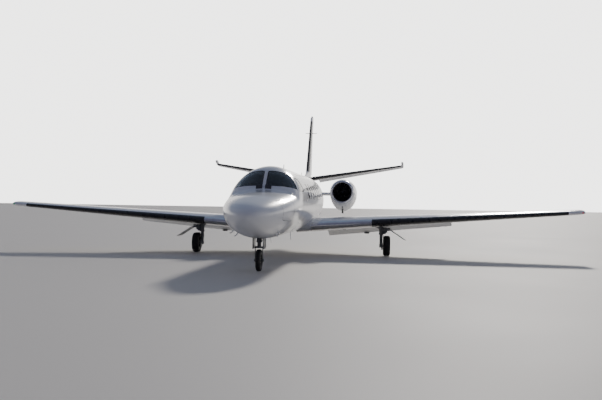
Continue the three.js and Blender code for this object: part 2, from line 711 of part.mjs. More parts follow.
function makeWings() {
  const rings = [
    [WING.rootX, 1],
    [WING.tipX - 180, 1],
    [WING.tipX - 70, 0.93],
    [WING.tipX - 20, 0.8],
    [WING.tipX, 0.6],
  ].map(([x, shrink]) => wingSection(x, shrink));
  const whole = loft(rings).subtract(fuselageSpace);
  const [flapStart, flapEnd] = [FLAP.start, FLAP.end].map((x) => wingChordPoint(x, FLAP.hingeChord));
  const flap = splitSurface(whole, flapStart, flapEnd, [74, 50], FLAP.pin, FLAP.restTurn);
  const [rollStart, rollEnd] = [AILERON.start, AILERON.end].map((x) => wingChordPoint(x, AILERON.hingeChord));
  const aileron = splitSurface(flap.fixed, rollStart, rollEnd, [56, 32], AILERON.pin, AILERON.restTurn);
  const underside = wingChordPoint(MAIN_WELL.inner, 0.4).z - 100;
  const { inner, outer, front, rear, depth } = MAIN_WELL;
  const well = box(inner, outer, front, rear, 400, underside + depth);
  addPair("wing", largest(aileron.fixed.subtract(well)).add(jackPad()), PAINT);
  addPair("flap", largest(flap.moving), PAINT);
  addPair("aileron", largest(aileron.moving), PAINT);
  return underside + depth;
}

// A flat jacking pad under the wing
function jackPad() {
  const { x, low, high, radius } = JACK_PAD;
  const middle = wingChordPoint(x, 0.5);
  return bar([x, middle.y, middle.z - low], [x, middle.y, middle.z - high], radius, radius + 15);
}

function makeTail() {
  const { z, dihedral, tipX, rootLead, tipLead, rootTrail, tipTrail } = TAILPLANE;
  const section = (x, shrink, grow) => {
    const t = x / tipX;
    const lead = rootLead + (tipLead - rootLead) * t;
    const chord = rootTrail + (tipTrail - rootTrail) * t - lead;
    const inset = (chord * (1 - shrink)) / 2;
    return aerofoil({
      x,
      lead: lead + inset - grow,
      chord: chord * shrink + 2 * grow,
      z,
      thickness: 0.1 * (0.4 + 0.6 * shrink) + (2 * grow) / chord,
    });
  };
  const outline = (grow) => loft([section(-grow, 1, grow), section(tipX - 60, 1, grow), section(tipX, 0.8, grow)]);
  const whole = outline(0);
  const { start, hornStart, hingeY, restTurn, pin } = ELEVATOR;
  const hinge = [start, hornStart].map((x) => new THREE.Vector3(x, hingeY, z));
  const extra = {
    moving: whole.intersect(box(hornStart, 4000, 5000, 7000, 1000, 3000)),
    space: box(hornStart - RUN_GAP, 4000, 5000, 7000, 1000, 3000),
  };
  const { fixed, moving } = splitSurface(whole, hinge[0], hinge[1], [42, 26], pin, restTurn, extra);
  const raise = new THREE.Matrix4()
    .makeTranslation(0, 0, z)
    .multiply(new THREE.Matrix4().makeRotationY(THREE.MathUtils.degToRad(-dihedral)))
    .multiply(new THREE.Matrix4().makeTranslation(0, 0, -z));
  const flip = new THREE.Matrix4().makeScale(-1, 1, 1);
  const raised = (solid) => transformed(solid, raise);
  const both = (solid) => solid.add(transformed(solid, flip));
  const middle = (grow) => box(-6, 6, rootLead + 300 - grow, rootTrail - 420 + grow, z - 45 - grow, z + 45 + grow);
  add("tailplane", both(raised(fixed)).add(middle(0)), PAINT);
  addPair("elevator", raised(moving), PAINT);
  return both(raised(outline(SEAT_GAP))).add(middle(SEAT_GAP));
}

function makeFin(tailplaneSpace) {
  const { lowZ, highZ, lowLead, highLead, lowTrail, highTrail, topZ } = FIN;
  const ring = (z, shrink) => {
    const t = (z - lowZ) / (highZ - lowZ);
    const lead = lowLead + (highLead - lowLead) * t;
    const chord = lowTrail + (highTrail - lowTrail) * t - lead;
    const inset = chord * (1 - shrink);
    return aerofoil({ lead: lead + inset * 0.7, chord: chord * shrink, z, thickness: 0.1, upright: true });
  };
  const upper = loft([ring(lowZ, 1), ring(highZ, 1), ring(topZ, 0.86)]);
  const rootRing = ({ y, half, top }) => [
    new THREE.Vector3(half, y, lowZ),
    new THREE.Vector3(half * 0.5, y, (lowZ + top) / 2),
    new THREE.Vector3(0, y, top),
    new THREE.Vector3(-half * 0.5, y, (lowZ + top) / 2),
    new THREE.Vector3(-half, y, lowZ),
  ];
  const fillet = loft(FIN_FILLET.map(rootRing));
  const whole = upper.add(fillet).subtract(fuselageSpace).subtract(tailplaneSpace);
  const start = new THREE.Vector3(0, RUDDER.lowY, RUDDER.lowZ);
  const end = new THREE.Vector3(0, RUDDER.highY, RUDDER.highZ);
  const { fixed, moving } = splitSurface(whole, start, end, [50, 26], RUDDER.pin, 0);
  const { reach, radius } = FIN_BARS;
  const bars = join([
    bar([-reach, FIN_BARS.y, FIN_BARS.z], [reach, FIN_BARS.y, FIN_BARS.z], radius, radius, 8),
    bar([0, BEACON.y, BEACON.low], [0, BEACON.y, BEACON.top], BEACON.radius, BEACON.topRadius, 10),
  ]);
  add("fin", largest(fixed.add(bars)), PAINT);
  add("rudder", largest(moving), PAINT);
}

function makeEngines() {
  const { x, z, lipY, endY, fanY, fanDepth } = ENGINE;
  const outer = bodyLength(NACELLE, lipY, endY, 0, x, 20);
  const duct = turned(x, z, [
    [lipY - 5, 0],
    [lipY - 5, 288],
    [lipY + 25, DUCT_RADIUS],
    [CORE_FRONT - 60, DUCT_RADIUS],
    [CORE_FRONT, BAY_RADIUS],
    [CORE_REAR - 100, BAY_RADIUS],
    [CORE_REAR, DUCT_RADIUS],
    [3800, 236],
    [endY + 5, 226],
    [endY + 5, 0],
  ], 20);
  const pylonRing = (px, lead, trail) => [
    new THREE.Vector3(px, lead, PYLON.z),
    new THREE.Vector3(px, lead + 220, PYLON.z + PYLON.half),
    new THREE.Vector3(px, trail - 320, PYLON.z + PYLON.half),
    new THREE.Vector3(px, trail, PYLON.z),
    new THREE.Vector3(px, trail - 320, PYLON.z - PYLON.half),
    new THREE.Vector3(px, lead + 220, PYLON.z - PYLON.half),
  ];
  const pylon = loft([
    pylonRing(PYLON.innerX, PYLON.innerLead, PYLON.innerTrail),
    pylonRing(PYLON.outerX, PYLON.outerLead, PYLON.outerTrail),
  ]);
  const drain = bar([x, DRAIN_MAST.y, DRAIN_MAST.high], [x, DRAIN_MAST.y + 30, DRAIN_MAST.low], 22, 12, 8);
  const nacelle = join([outer, pylon, drain]).subtract(duct).subtract(fuselageSpace);
  addPair("nacelle", largest(nacelle), PAINT);
  const mountRadius = BAY_RADIUS - SEAT_GAP;
  const core = turned(x, z, [
    [fanY + 40, 0],
    [fanY + 40, SPIGOT],
    [CORE_FRONT, SPIGOT],
    [CORE_FRONT, CORE_RADIUS - 40],
    [CORE_FRONT + 80, CORE_RADIUS],
    [CORE_FRONT + 120, mountRadius],
    [CORE_FRONT + 160, mountRadius],
    [CORE_FRONT + 200, CORE_RADIUS],
    [CORE_REAR - 240, CORE_RADIUS - 30],
    [CORE_REAR - 200, mountRadius],
    [CORE_REAR - 160, mountRadius],
    [CORE_REAR - 120, 200],
    [CORE_REAR + 420, 60],
    [CORE_REAR + 420, 0],
  ], 20);
  addPair("engine_core", core, DARK_METAL);
  const hub = turned(x, z, [
    [fanY - 130, 0],
    [fanY - 90, 45],
    [fanY, 86],
    [fanY + fanDepth, 92],
    [fanY + fanDepth, SPIGOT + 0.6],
    [fanY + 39, SPIGOT + 0.6],
    [fanY + 39, 0],
  ], 20);
  const blades = [];
  for (let i = 0; i < FAN_BLADES; i++) {
    const leaf = box(-4, 4, -38, 38, 70, 262);
    const turn = new THREE.Matrix4()
      .makeTranslation(x, fanY + fanDepth / 2, z)
      .multiply(new THREE.Matrix4().makeRotationY((2 * Math.PI * i) / FAN_BLADES))
      .multiply(new THREE.Matrix4().makeRotationZ(THREE.MathUtils.degToRad(38)));
    blades.push(transformed(leaf, turn));
  }
  addPair("fan", join([hub, ...blades]), METAL);
}

// A wheel on the X direction: a tyre with rounded shoulders and a dished hub with a bore
function wheel({ x = 0, y, radius, half, bore }) {
  const hub = radius * 0.55;
  const profile = [
    [-half * 0.5, bore],
    [-half * 0.5, hub * 0.85],
    [-half * 0.85, hub],
    [-half, radius * 0.78],
    [-half * 0.7, radius * 0.97],
    [-half * 0.25, radius],
    [half * 0.25, radius],
    [half * 0.7, radius * 0.97],
    [half, radius * 0.78],
    [half * 0.85, hub],
    [half * 0.5, hub * 0.85],
    [half * 0.5, bore],
    [-half * 0.5, bore],
  ].map(([across, out]) => new THREE.Vector2(out, across));
  const geometry = new THREE.LatheGeometry(profile, 24);
  geometry.rotateZ(-Math.PI / 2);
  geometry.translate(x, y, radius);
  return solidOf(geometry);
}

function makeNoseGear() {
  const { y, radius, half, bore } = NOSE_WHEEL;
  const legTop = NOSE_WELL.top - SEAT_GAP;
  const leg = join([
    bar([0, y, 600], [0, y, legTop], 58),
    bar([0, y + 20, 800], [0, y + 260, 930], 24, 24, 10),
    box(7 - NOSE_WELL.half, NOSE_WELL.half - 7, y - 40, y + 40, legTop - 50, legTop),
  ]).subtract(bar([0, y, 590], [0, y, 760], 43, 43, 24));
  add("nose_leg", leg, METAL);
  const armX = half + 16;
  const fork = join([
    bar([0, y, 500], [0, y, 750], 42, 42, 24),
    box(-armX - 16, armX + 16, y - 45, y + 45, 478, 520),
    box(armX, armX + 16, y - 32, y + 32, radius - 30, 500),
    box(-armX - 16, -armX, y - 32, y + 32, radius - 30, 500),
    bar([-armX - 10, y, radius], [armX + 10, y, radius], bore - 0.6),
    box(-22, 22, y + 40, y + 120, 500, 524),
    box(-16, 16, y + 96, y + 120, 500, 590),
  ]);
  add("nose_fork", fork, METAL);
  add("nose_wheel", wheel(NOSE_WHEEL), TYRE);
  const skin = skinPoint(FUSELAGE, y, -78, 0).z;
  const { front, rear, low, thickness } = NOSE_GEAR_DOOR;
  const inner = NOSE_WELL.half + 1;
  const plate = box(inner, inner + thickness, front, rear, low, skin).subtract(fuselageSpace);
  addPair("nose_gear_door", largest(plate), PAINT);
}

function makeMainGear(wellTop) {
  const { x, y, radius, half, bore } = MAIN_WHEEL;
  const legX = x - half - 55;
  const [doorX, doorZ] = [MAIN_DOOR.x, MAIN_DOOR.z];
  const strut = join([
    bar([legX, y, 580], [legX + 20, y, wellTop - SEAT_GAP], 60),
    bar([legX, y, radius - 45], [legX, y, 600], 44),
    bar([legX - 10, y, radius], [x + half * 0.5 + 20, y, radius], bore - 0.6),
    bar([legX - 10, y, radius], [x - half * 0.5 - 6, y, radius], 52),
    bar([legX + 5, y, 760], [legX - 420, y, wellTop - 30], 28, 28, 10),
    box(legX - 30, doorX - SEAT_GAP, y - 45, y + 45, doorZ - 22, doorZ + 22),
    box(legX - 20, legX + 20, y + 40, y + 110, 300, 330),
  ]);
  addPair("main_leg", strut.intersect(box(0, 4000, -1000, 2000, 0, wellTop - SEAT_GAP)), METAL);
  addPair("main_wheel", wheel(MAIN_WHEEL), TYRE);
  const { width, front, rear, thickness, slant } = MAIN_DOOR;
  const plate = box(0, width, front, rear, -thickness / 2, thickness / 2);
  const lean = new THREE.Matrix4()
    .makeTranslation(doorX + 4, 0, doorZ)
    .multiply(new THREE.Matrix4().makeRotationY(THREE.MathUtils.degToRad(slant)));
  const root = box(doorX, doorX + 30, y - 45, y + 45, doorZ - 22, doorZ + 22);
  addPair("main_gear_door", transformed(plate, lean).add(root), PAINT);
}

const tailplaneSpace = makeTail();
makeNose();
makeCabin();
makeTailcone(tailplaneSpace);
makeFin(tailplaneSpace);
const wellTop = makeWings();
makeEngines();
makeNoseGear();
makeMainGear(wellTop);

export default jet;
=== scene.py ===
import math

import bmesh
import bpy
from mathutils import Matrix, Vector


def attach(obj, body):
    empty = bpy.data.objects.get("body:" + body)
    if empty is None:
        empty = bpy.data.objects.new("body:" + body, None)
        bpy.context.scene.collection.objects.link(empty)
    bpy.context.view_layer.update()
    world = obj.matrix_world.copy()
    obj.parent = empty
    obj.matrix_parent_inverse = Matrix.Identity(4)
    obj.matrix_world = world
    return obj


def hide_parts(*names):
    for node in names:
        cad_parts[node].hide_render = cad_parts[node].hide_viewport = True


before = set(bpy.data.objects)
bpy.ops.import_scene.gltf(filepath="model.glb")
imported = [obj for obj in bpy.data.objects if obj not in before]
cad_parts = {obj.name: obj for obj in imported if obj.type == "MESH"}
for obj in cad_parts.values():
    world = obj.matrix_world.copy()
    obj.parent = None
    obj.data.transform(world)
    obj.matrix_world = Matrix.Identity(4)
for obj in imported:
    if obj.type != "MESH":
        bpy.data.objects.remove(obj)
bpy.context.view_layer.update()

# Metres. +X is the aircraft's left, -Y its nose, +Z up.
SIDES = (("left", 1), ("right", -1))
FLIP = Matrix.Scale(-1, 4, (1, 0, 0))
ACROSS, ALONG, UP = (1, 0, 0), (0, 1, 0), (0, 0, 1)
RING_STEPS = 72
SLOTS = 6
MERGE_DISTANCE = 1e-5
CUT_PAST = 0.005
CORE_START, CORE_DEPTH = -1.3, 0.003

# Gaps: under seated pieces, beside moving surfaces, round the doors and at the doors' hinges
SEAT_GAP, RUN_GAP, DOOR_GAP, HINGE_GAP = 0.0004, 0.006, 0.006, 0.0006

# Fuselage: place along the length, half width, belly, crown, height of the widest line
FUSELAGE = (
    (-7.45, 0.004, 1.166, 1.174, 1.17),
    (-7.4, 0.154, 1.062, 1.262, 1.172),
    (-7.3, 0.264, 0.985, 1.33, 1.18),
    (-7.1, 0.396, 0.9, 1.41, 1.195),
    (-6.8, 0.523, 0.812, 1.482, 1.22),
    (-6.4, 0.637, 0.738, 1.56, 1.255),
    (-5.9, 0.729, 0.688, 1.628, 1.31),
    (-5.3, 0.79, 0.662, 1.7, 1.385),
    (-5.22, 0.795, 0.66, 1.728, 1.393),
    (-4.97, 0.804, 0.655, 1.94, 1.418),
    (-4.72, 0.809, 0.652, 2.13, 1.44),
    (-4.45, 0.81, 0.65, 2.222, 1.455),
    (-4.05, 0.81, 0.65, 2.266, 1.46),
    (-3.5, 0.81, 0.65, 2.27, 1.46),
    (1.3, 0.81, 0.65, 2.27, 1.46),
    (2.3, 0.775, 0.735, 2.268, 1.5),
    (3.3, 0.69, 0.915, 2.262, 1.59),
    (4.3, 0.56, 1.16, 2.256, 1.71),
    (5.3, 0.4, 1.425, 2.25, 1.83),
    (6.2, 0.23, 1.665, 2.22, 1.945),
    (6.7, 0.12, 1.815, 2.15, 1.985),
    (6.85, 0.06, 1.9, 2.065, 1.985),
)
NOSE_Y, RADOME_JOINT, COCKPIT_JOINT, TAILCONE_JOINT, TAIL_END = -7.45, -6.78, -5.33, 1.3, 6.85
COCKPIT_END, CABIN_BULKHEAD, TAIL_BULKHEAD = -4.05, 1.23, 6.5
NOSE_STEP, COCKPIT_STEP, CABIN_STEP, TAIL_STEP = 0.1, 0.064, 0.25, 0.15
CABIN_WALL, NOSE_WALL, TAIL_WALL = 0.06, 0.045, 0.02
SHELL_RADIUS, CROWN = 0.81, 2.27
PER_DEGREE = math.pi * SHELL_RADIUS / 180

# Window outlines on the skin: place along the length, degrees above the widest line
WINDSHIELD = (
    (-5.22, 87.5), (-5.2, 70), (-5.125, 50), (-5.015, 35),
    (-4.91, 25.8), (-4.6, 51), (-4.66, 70), (-4.72, 87.5),
)
GLASS_FOOT = ((-5.13, 87.5), (-5.112, 70), (-5.045, 50), (-4.955, 36.5), (-4.875, 28.65))
SIDE_WINDOW = ((-4.82, 23), (-4.5, 17), (-4.17, 16), (-4.2, 38), (-4.45, 45), (-4.56, 46))
CABIN_WINDOW = {
    "first": -3.05, "pitch": 0.68, "count": 6, "degrees": 18.7, "half": 0.16, "tall": 0.195,
    "points": 28, "roundness": 0.55,
}
WINDSHIELD_CORNER, SIDE_CORNER = 0.05, 0.06
CORNER_SHARE, CORNER_POINTS, OUTLINE_STEP = 0.42, 6, 0.07
PLUG_DEPTHS = (-0.2, 0.19)
SEAL_WIDTH = 0.014
COCKPIT_BAND_END, CABIN_BAND = -3.95, (-4.2, 0.8)
NOZZLE = {"inner": 0.03, "outer": 0.165, "y": -5.225, "foot": 1.722, "top": 1.835, "lean": -32, "thick": 0.06}
NOZZLE_SLOT = {"count": 6, "first": 0.014, "pitch": 0.02, "width": 0.012, "low": 0.03, "high": 0.01}

# Depths under the skin of the outer and the inner face of each pane and seal
COCKPIT_PANE, COCKPIT_SEAL = (0.005, 0.025), (0.002, 0.03)
CABIN_PANE, CABIN_SEAL = (0.004, 0.014), (0.001, 0.026)

# Doors
CABIN_DOOR = {"front": -4.15, "rear": -3.5, "low": 0.96, "high": 1.99, "slope": 0.55, "corner": 0.09}
CABIN_DOOR_CUT = {"inside": 0.25, "outside": 1.0, "step": 0.08}
EXIT_OUTLINE = ((-1.93, -14), (-1.45, -14), (-1.45, 38), (-1.93, 38))
EXIT_CORNER, EXIT_GAP = 0.09, 0.002
NOSE_DOOR = {"front": -6.48, "rear": -5.76, "hinge_z": 1.47, "reach": 0.415, "out": 0.034}
REAR_DOOR = {"front": 2.15, "rear": 2.85, "hinge_z": 1.4, "reach": 0.44, "out": 0.014}
LID = {"corner": 0.07, "step": 0.1, "arc": 24}
NOSE_BAY = {"front": -6.64, "rear": -5.56, "floor": 1.03}
HANDLE_PLACE = (-3.62, 1.5)
HANDLE_PLATE, HANDLE_GRIP = ((-3.72, 1.48), (-3.58, 1.52)), ((-3.705, 1.492), (-3.6, 1.508))

# Wing and its moving parts
WING = {"root": 0.25, "tip": 7.955, "lead": -0.805, "sweep": 0.079, "chord": 2.86, "taper": 0.219}
WING_PLANE = {"z": 0.765, "rise": 0.0661, "incidence": 1.6, "root": 0.14, "tip": 0.12, "camber": 0.018}
FLAP = {"start": 0.94, "end": 4.5, "chord": 0.8, "turn": 35, "noses": (0.074, 0.05)}
AILERON = {"start": 4.56, "end": 7.3, "chord": 0.76, "turn": 0, "noses": (0.056, 0.032)}
FLAP_FAIRINGS = (2.12, 3.9)
FAIRING = {"long": 0.3, "half": 0.028, "deep": 0.05, "rings": 12, "steps": 20, "fullness": 0.6, "sunk": 0.006}
FLAP_STOP = {"x": 2.1, "half": 0.075, "long": 0.07, "deep": 0.035, "high": 0.012}
JACK_PAD = {"x": 1.5, "part": 0.5, "low": 0.6899, "high": 0.8349}
METAL_EDGE = (0.66, 1.72, 2.27)
BOOT_SPAN = (2.27, 7.48)
# The edge reaches further under the wing than on the real aircraft: the black boot there is partly painted
# shade of the underside
EDGE_ABOVE, EDGE_BELOW_WITH_SHADE = 0.05, 0.115
WICKS = (6.1, 6.6, 7.1)

# Moving surfaces: room round their noses, radius of the noses' bars, and how far the cutters reach
NOSE_ROOM, NOSE_SHARE, CUT_REACH = 0.008, 0.92, 1.5
HORN_LOW, HORN_HIGH = (5, 1), (4, 7, 3)

# Ribs that a surface is drawn through, and its rounded tip: distance from the end, share of the chord
WING_RIBS = (WING["root"], *METAL_EDGE, 3.2, 4.2, 5.4, 6.4, BOOT_SPAN[1])
WING_TIP = ((0.18, 1.0), (0.12, 0.975), (0.07, 0.93), (0.035, 0.87), (0.012, 0.76), (0, 0.6))
TAIL_RIBS, TAIL_TIP = (0.0, 0.36, 1.2, 2.2, 3.2), ((0.06, 1.0), (0.02, 0.92), (0, 0.8))
FIN_RIBS, FIN_TIP = (2.15, 2.5, 2.72, 3.3, 3.9, 4.34, 4.45), ((0.02, 0.95), (0, 0.86))
WING_TIP_BACK, TAIL_TIP_BACK, FIN_TIP_BACK = 0.35, 0.5, 0.7

# Tail
TAILPLANE = {"z": 2.24, "dihedral": 9, "tip": 3.31, "lead": (5.05, 5.56), "trail": (6.55, 6.275)}
ELEVATOR = {"start": 0.335, "horn": 3.235, "hinge_y": 6.05, "turn": 15, "noses": (0.042, 0.026)}
FIN = {"low": 2.15, "high": 4.45, "lead": (4.965, 6.55), "trail": (6.6, 7.45), "top": 4.5}
RUDDER = {"low": (6.43, 2.43), "high": (7.115, 4.4), "noses": (0.05, 0.026)}
TAIL_THICKNESS = 0.1
# The tail boot reaches further back and in to the root than the real boot: its black is partly painted shade
# of the leading edge
TAIL_BOOT_WITH_SHADE = {"part": 0.13, "end": 3.2}
# The fin boot is wider and reaches lower, to the fillet, than the real boot: its black is partly painted
# shade of the fin's front
FIN_BOOT_WITH_SHADE = {"part": 0.15, "low": 2.5, "high": 4.34}
FIN_FILLET = ((4.1, 0.03, 2.275), (4.7, 0.07, 2.39), (5.35, 0.095, 2.57))
FILLET_STEPS, FILLET_FULLNESS = 8, 1.3
AERIAL_BARS = {"y": 6.64, "z": 3.92, "reach": 0.205}
BEACON_Y = 6.9
BEACON_BASE = ((4.46, 0.05), (4.485, 0.048), (4.49, 0.04))
BEACON_DOME = ((4.485, 0.0), (4.487, 0.04), (4.53, 0.036), (4.555, 0.024), (4.568, 0.0))

# Engines
ENGINE = {"x": 1.38, "z": 1.77, "lip": 1.25, "end": 4.15, "fan": 1.76}
NACELLE = (
    (1.25, 0.292, 1.478, 2.062, 1.77),
    (1.275, 0.325, 1.44, 2.095, 1.77),
    (1.4, 0.358, 1.38, 2.128, 1.768),
    (1.75, 0.384, 1.285, 2.15, 1.76),
    (2.25, 0.396, 1.205, 2.16, 1.745),
    (2.9, 0.386, 1.222, 2.152, 1.745),
    (3.5, 0.342, 1.335, 2.11, 1.755),
    (3.95, 0.285, 1.462, 2.055, 1.765),
    (4.15, 0.262, 1.505, 2.032, 1.77),
)
DUCT = (
    (1.252, 0.283), (1.262, 0.277), (1.29, 0.272), (1.5, 0.272), (1.9, 0.272), (1.96, 0.325),
    (3.2, 0.325), (3.3, 0.272), (3.8, 0.236), (4.15, 0.226),
)
COWL_RINGS, COWL_STEPS = 30, 64
COWL_ZONES = {"lip": 1.28, "duct": 0.273, "room": (1.9, 3.35), "room_radius": 0.33, "hot": 3.3, "burnt": 3.9}
PYLON = {"z": 1.722, "half": 0.052, "inner": (0.56, 1.85, 4.05), "outer": (1.18, 1.78, 4.0), "rings": 7}
ENGINE_ROOM = {"front": 1.8, "rear": 4.2, "radius": 0.33}
SPINNER = (
    (-0.13, 0.0), (-0.12, 0.018), (-0.09, 0.045), (-0.045, 0.07), (0, 0.086), (0.045, 0.091),
    (0.09, 0.092), (0.09, 0.036), (0.039, 0.036), (0.039, 0.0),
)
FAN = {"blades": 22, "root": 0.078, "tip": 0.2655, "bow": 0.008, "back": 0.045, "thick": 0.003}
BLADE_CHORD, BLADE_LEAN = (0.058, 0.08), (34, 60)

# Drain mast under the cowl: places along the length and heights
DRAIN_MAST, DRAIN_PIPE = ((1.76, 1.33), (1.79, 1.2)), ((1.5, 1.33), (1.58, 1.33))
DRAIN_VANE = ((1.755, 1.145), (1.83, 1.205))

# Gear
NOSE_WHEEL = {"x": 0.0, "y": -5.7, "radius": 0.2285, "half": 0.055, "bore": 0.0194}
MAIN_WHEEL = {"x": 2.68, "y": 0.36, "radius": 0.2795, "half": 0.1, "bore": 0.0334}
NOSE_WELL = {"half": 0.103, "front": -6.01, "rear": -5.4, "top": 0.96}
MAIN_WELL = {"inner": 1.78, "outer": 2.64, "front": 0.06, "rear": 0.66, "top": 0.90707}
NOSE_GEAR_DOOR = {"front": -5.88, "rear": -5.5, "low": 0.466, "thick": 0.012}
MAIN_DOOR = {"x": 2.79, "z": 0.715, "width": 0.48, "front": 0.06, "rear": 0.66, "slant": 33}
WELL_FOOT = 0.4
DOOR_RIBS = {"count": 3, "first": 0.12, "pitch": 0.17, "width": 0.02}
NOSE_BARREL = (
    (0.6, 0.0435), (0.6, 0.056), (0.604, 0.062), (0.635, 0.062), (0.64, 0.055),
    (0.8, 0.055), (0.81, 0.062), (0.95, 0.062), (0.95, 0.0435),
)
MAIN_BARREL = ((0.585, 0.058), (0.59, 0.064), (0.625, 0.064), (0.63, 0.056), (0.86, 0.056), (0.87, 0.064))
AXLE_BOSS = ((0.23, 0.0), (0.23, 0.046), (0.25, 0.05), (0.33, 0.05), (0.345, 0.0))

# Lines clipped to the legs: out from the leg, back from the wheel's centre, height
NOSE_LINE = ((0.062, 0.02, 0.94), (0.066, 0.03, 0.8), (0.07, 0.036, 0.66), (0.062, 0.03, 0.62))
BRAKE_LINE = (
    (0.05, -0.05, 0.93), (0.055, -0.055, 0.7), (0.06, -0.062, 0.5), (0.07, -0.05, 0.36), (0.075, -0.03, 0.31),
)

# Tyre and rim on one side: parts of the half width, with parts of the radius or of the hub
HUB_PART, GROOVES = 0.55, (-0.42, -0.14, 0.14, 0.42)
TYRE_BEAD, TYRE_WALL = ((0.72, 0.98), (0.86, 1.02)), ((0.97, 0.7), (1, 0.8), (0.93, 0.9))
RIM = ((0.8, 0.985), (0.82, 0.93), (0.6, 0.88), (0.34, 0.8), (0.3, 0.45), (0.5, 0.34))

# Seats
SEAT = {"x": 0.395, "half": 0.195, "low": 1.18, "high": 1.33, "depth": 0.46, "back_high": 1.88}
SEAT_Y = (-4.64, -3.08, -2.25, -1.42, -0.59)
SEAT_RAILS = (-4.84, -0.12)
PAD_INSET, PAD_SUNK, BACK_LEAN = 0.02, 0.03, -12
FLOOR_TOP = 1.01

# Cloth that blows the pads up
PAD_CUTS, PAD_VOXEL, PAD_PRESSURE, PAD_SWELL, PAD_FRAMES = 11, 0.013, 4.0, 0.02, 20


# Materials

class Value:
    """A shader socket that takes arithmetic"""

    def __init__(self, tree, socket):
        self.tree = tree
        self.socket = socket

    def math(self, operation, *others):
        node = self.tree.nodes.new("ShaderNodeMath")
        node.operation = operation
        for place, value in zip(node.inputs, (self, *others)):
            connect(self.tree, place, value)
        return Value(self.tree, node.outputs[0])

    def __add__(self, other):
        return self.math("ADD", other)

    def __sub__(self, other):
        return self.math("SUBTRACT", other)

    def __mul__(self, other):
        return self.math("MULTIPLY", other)

    def __truediv__(self, other):
        return self.math("DIVIDE", other)

    def __rsub__(self, other):
        return self * -1 + other

    __radd__ = __add__
    __rmul__ = __mul__


def connect(tree, place, value):
    if isinstance(value, Value):
        tree.links.new(value.socket, place)
    elif isinstance(value, tuple) and len(value) == 3 and len(place.default_value) == 4:
        place.default_value = (*value, 1)
    else:
        place.default_value = value


# Sockets of a Mix node that mixes colours
MIX_FACTOR, MIX_FIRST, MIX_SECOND, MIX_RESULT = 0, 6, 7, 2
NOISE_RANGE = (0.3, 0.7)


class Nodes:
    """The nodes of one tree, each made from its kind, settings and values"""

    def __init__(self, tree):
        self.tree = tree

    def node(self, kind, settings=None, values=None, output=0):
        node = self.tree.nodes.new("ShaderNode" + kind)
        for key, value in (settings or {}).items():
            setattr(node, key, value)
        for key, value in (values or {}).items():
            connect(self.tree, node.inputs[key], value)
        return Value(self.tree, node.outputs[output])

    def split(self, place):
        """The three numbers of a place"""
        x = self.node("SeparateXYZ", values={0: place})
        return [Value(self.tree, socket) for socket in x.socket.node.outputs]

    def between(self, value, low, high, to_low=0.0, to_high=1.0, curve="LINEAR"):
        """A value moved from one range to another, and held at its ends"""
        limits = {"Value": value, "From Min": low, "From Max": high, "To Min": to_low, "To Max": to_high}
        return self.node("MapRange", {"interpolation_type": curve}, limits)

    def mix(self, factor, first, second):
        values = {MIX_FACTOR: factor, MIX_FIRST: first, MIX_SECOND: second}
        return self.node("Mix", {"data_type": "RGBA"}, values, MIX_RESULT)


class Finish(Nodes):
    """A material whose constants sit on the shader's own sockets"""

    def __init__(self, name, constants):
        self.material = bpy.data.materials.new(name)
        self.material.use_nodes = True
        super().__init__(self.material.node_tree)
        self.shader = self.tree.nodes["Principled BSDF"]
        for key, value in constants.items():
            self.set(key, value)
        self.where = self.node("TexCoord", output="Object")
        self.x, self.y, self.z = self.split(self.where)

    def set(self, key, value):
        connect(self.tree, self.shader.inputs[key], value)

    def noise(self, scale, detail=3.0, stretch=(1, 1, 1)):
        place = self.node("Mapping", values={"Vector": self.where, "Scale": stretch})
        return self.node("TexNoise", values={"Vector": place, "Scale": scale, "Detail": detail})

    def seams(self, value, start, pitch, width):
        """1 on thin lines at an even pitch, 0 between them"""
        turns = (value - start) / pitch + 0.5
        away = (turns - turns.math("FLOOR") - 0.5).math("ABSOLUTE") * pitch
        return self.between(away, width * 0.5, width, 1.0, 0.0)

    def rough(self, scale, low, high):
        """Roughness that drifts between two values"""
        self.set("Roughness", self.between(self.noise(scale), *NOISE_RANGE, low, high))

    def bump(self, height, distance, strength=1.0):
        values = {"Height": height, "Distance": distance, "Strength": strength}
        self.set("Normal", self.node("Bump", values=values))


def dimmed(color, part):
    return tuple(channel * part for channel in color)


def white_paint(name, seams):
    """Gloss white with skin seams, faint dirt and a fine orange peel"""
    coat = {"Coat Weight": 0.6, "Coat Roughness": 0.05, "IOR": 1.5, "Specular IOR Level": 0.25}
    paint = Finish(name, coat)
    lines = seams(paint)
    dirt = paint.between(paint.noise(1.4, 5.0, (1, 0.35, 1)), 0.45, 0.75)
    clean = paint.mix(dirt * 0.2, (0.83, 0.84, 0.86), (0.77, 0.775, 0.785))
    paint.set("Base Color", paint.mix(lines * 0.4, clean, (0.42, 0.43, 0.45)))
    paint.rough(2.0, 0.2, 0.24)
    paint.bump(paint.noise(260.0, 1.0) * 0.03 - lines, 0.0004)
    return paint.material


def fuselage_seams(paint):
    hoops = paint.seams(paint.y, start=-6.06, pitch=0.905, width=0.0026)
    stringers = paint.seams(paint.z, start=1.02, pitch=0.61, width=0.0022)
    return hoops.math("MAXIMUM", stringers)


def wing_seams(paint):
    ribs = paint.seams(paint.x, start=0.3, pitch=0.82, width=0.0024)
    spars = paint.seams(paint.y, start=-0.1, pitch=0.74, width=0.0022)
    return ribs.math("MAXIMUM", spars)


def small_seams(paint):
    return paint.seams(paint.y, start=0.2, pitch=1.3, width=0.0018)


def polished_metal(name, color, low, high, scale=9.0):
    metal = Finish(name, {"Metallic": 1.0})
    cloud = metal.between(metal.noise(scale, 5.0), 0.35, 0.7)
    metal.set("Base Color", metal.mix(cloud * 0.4, color, dimmed(color, 0.72)))
    metal.rough(scale * 3, low, high)
    metal.bump(metal.noise(scale * 40, 1.0), 0.0002, 0.4)
    return metal.material


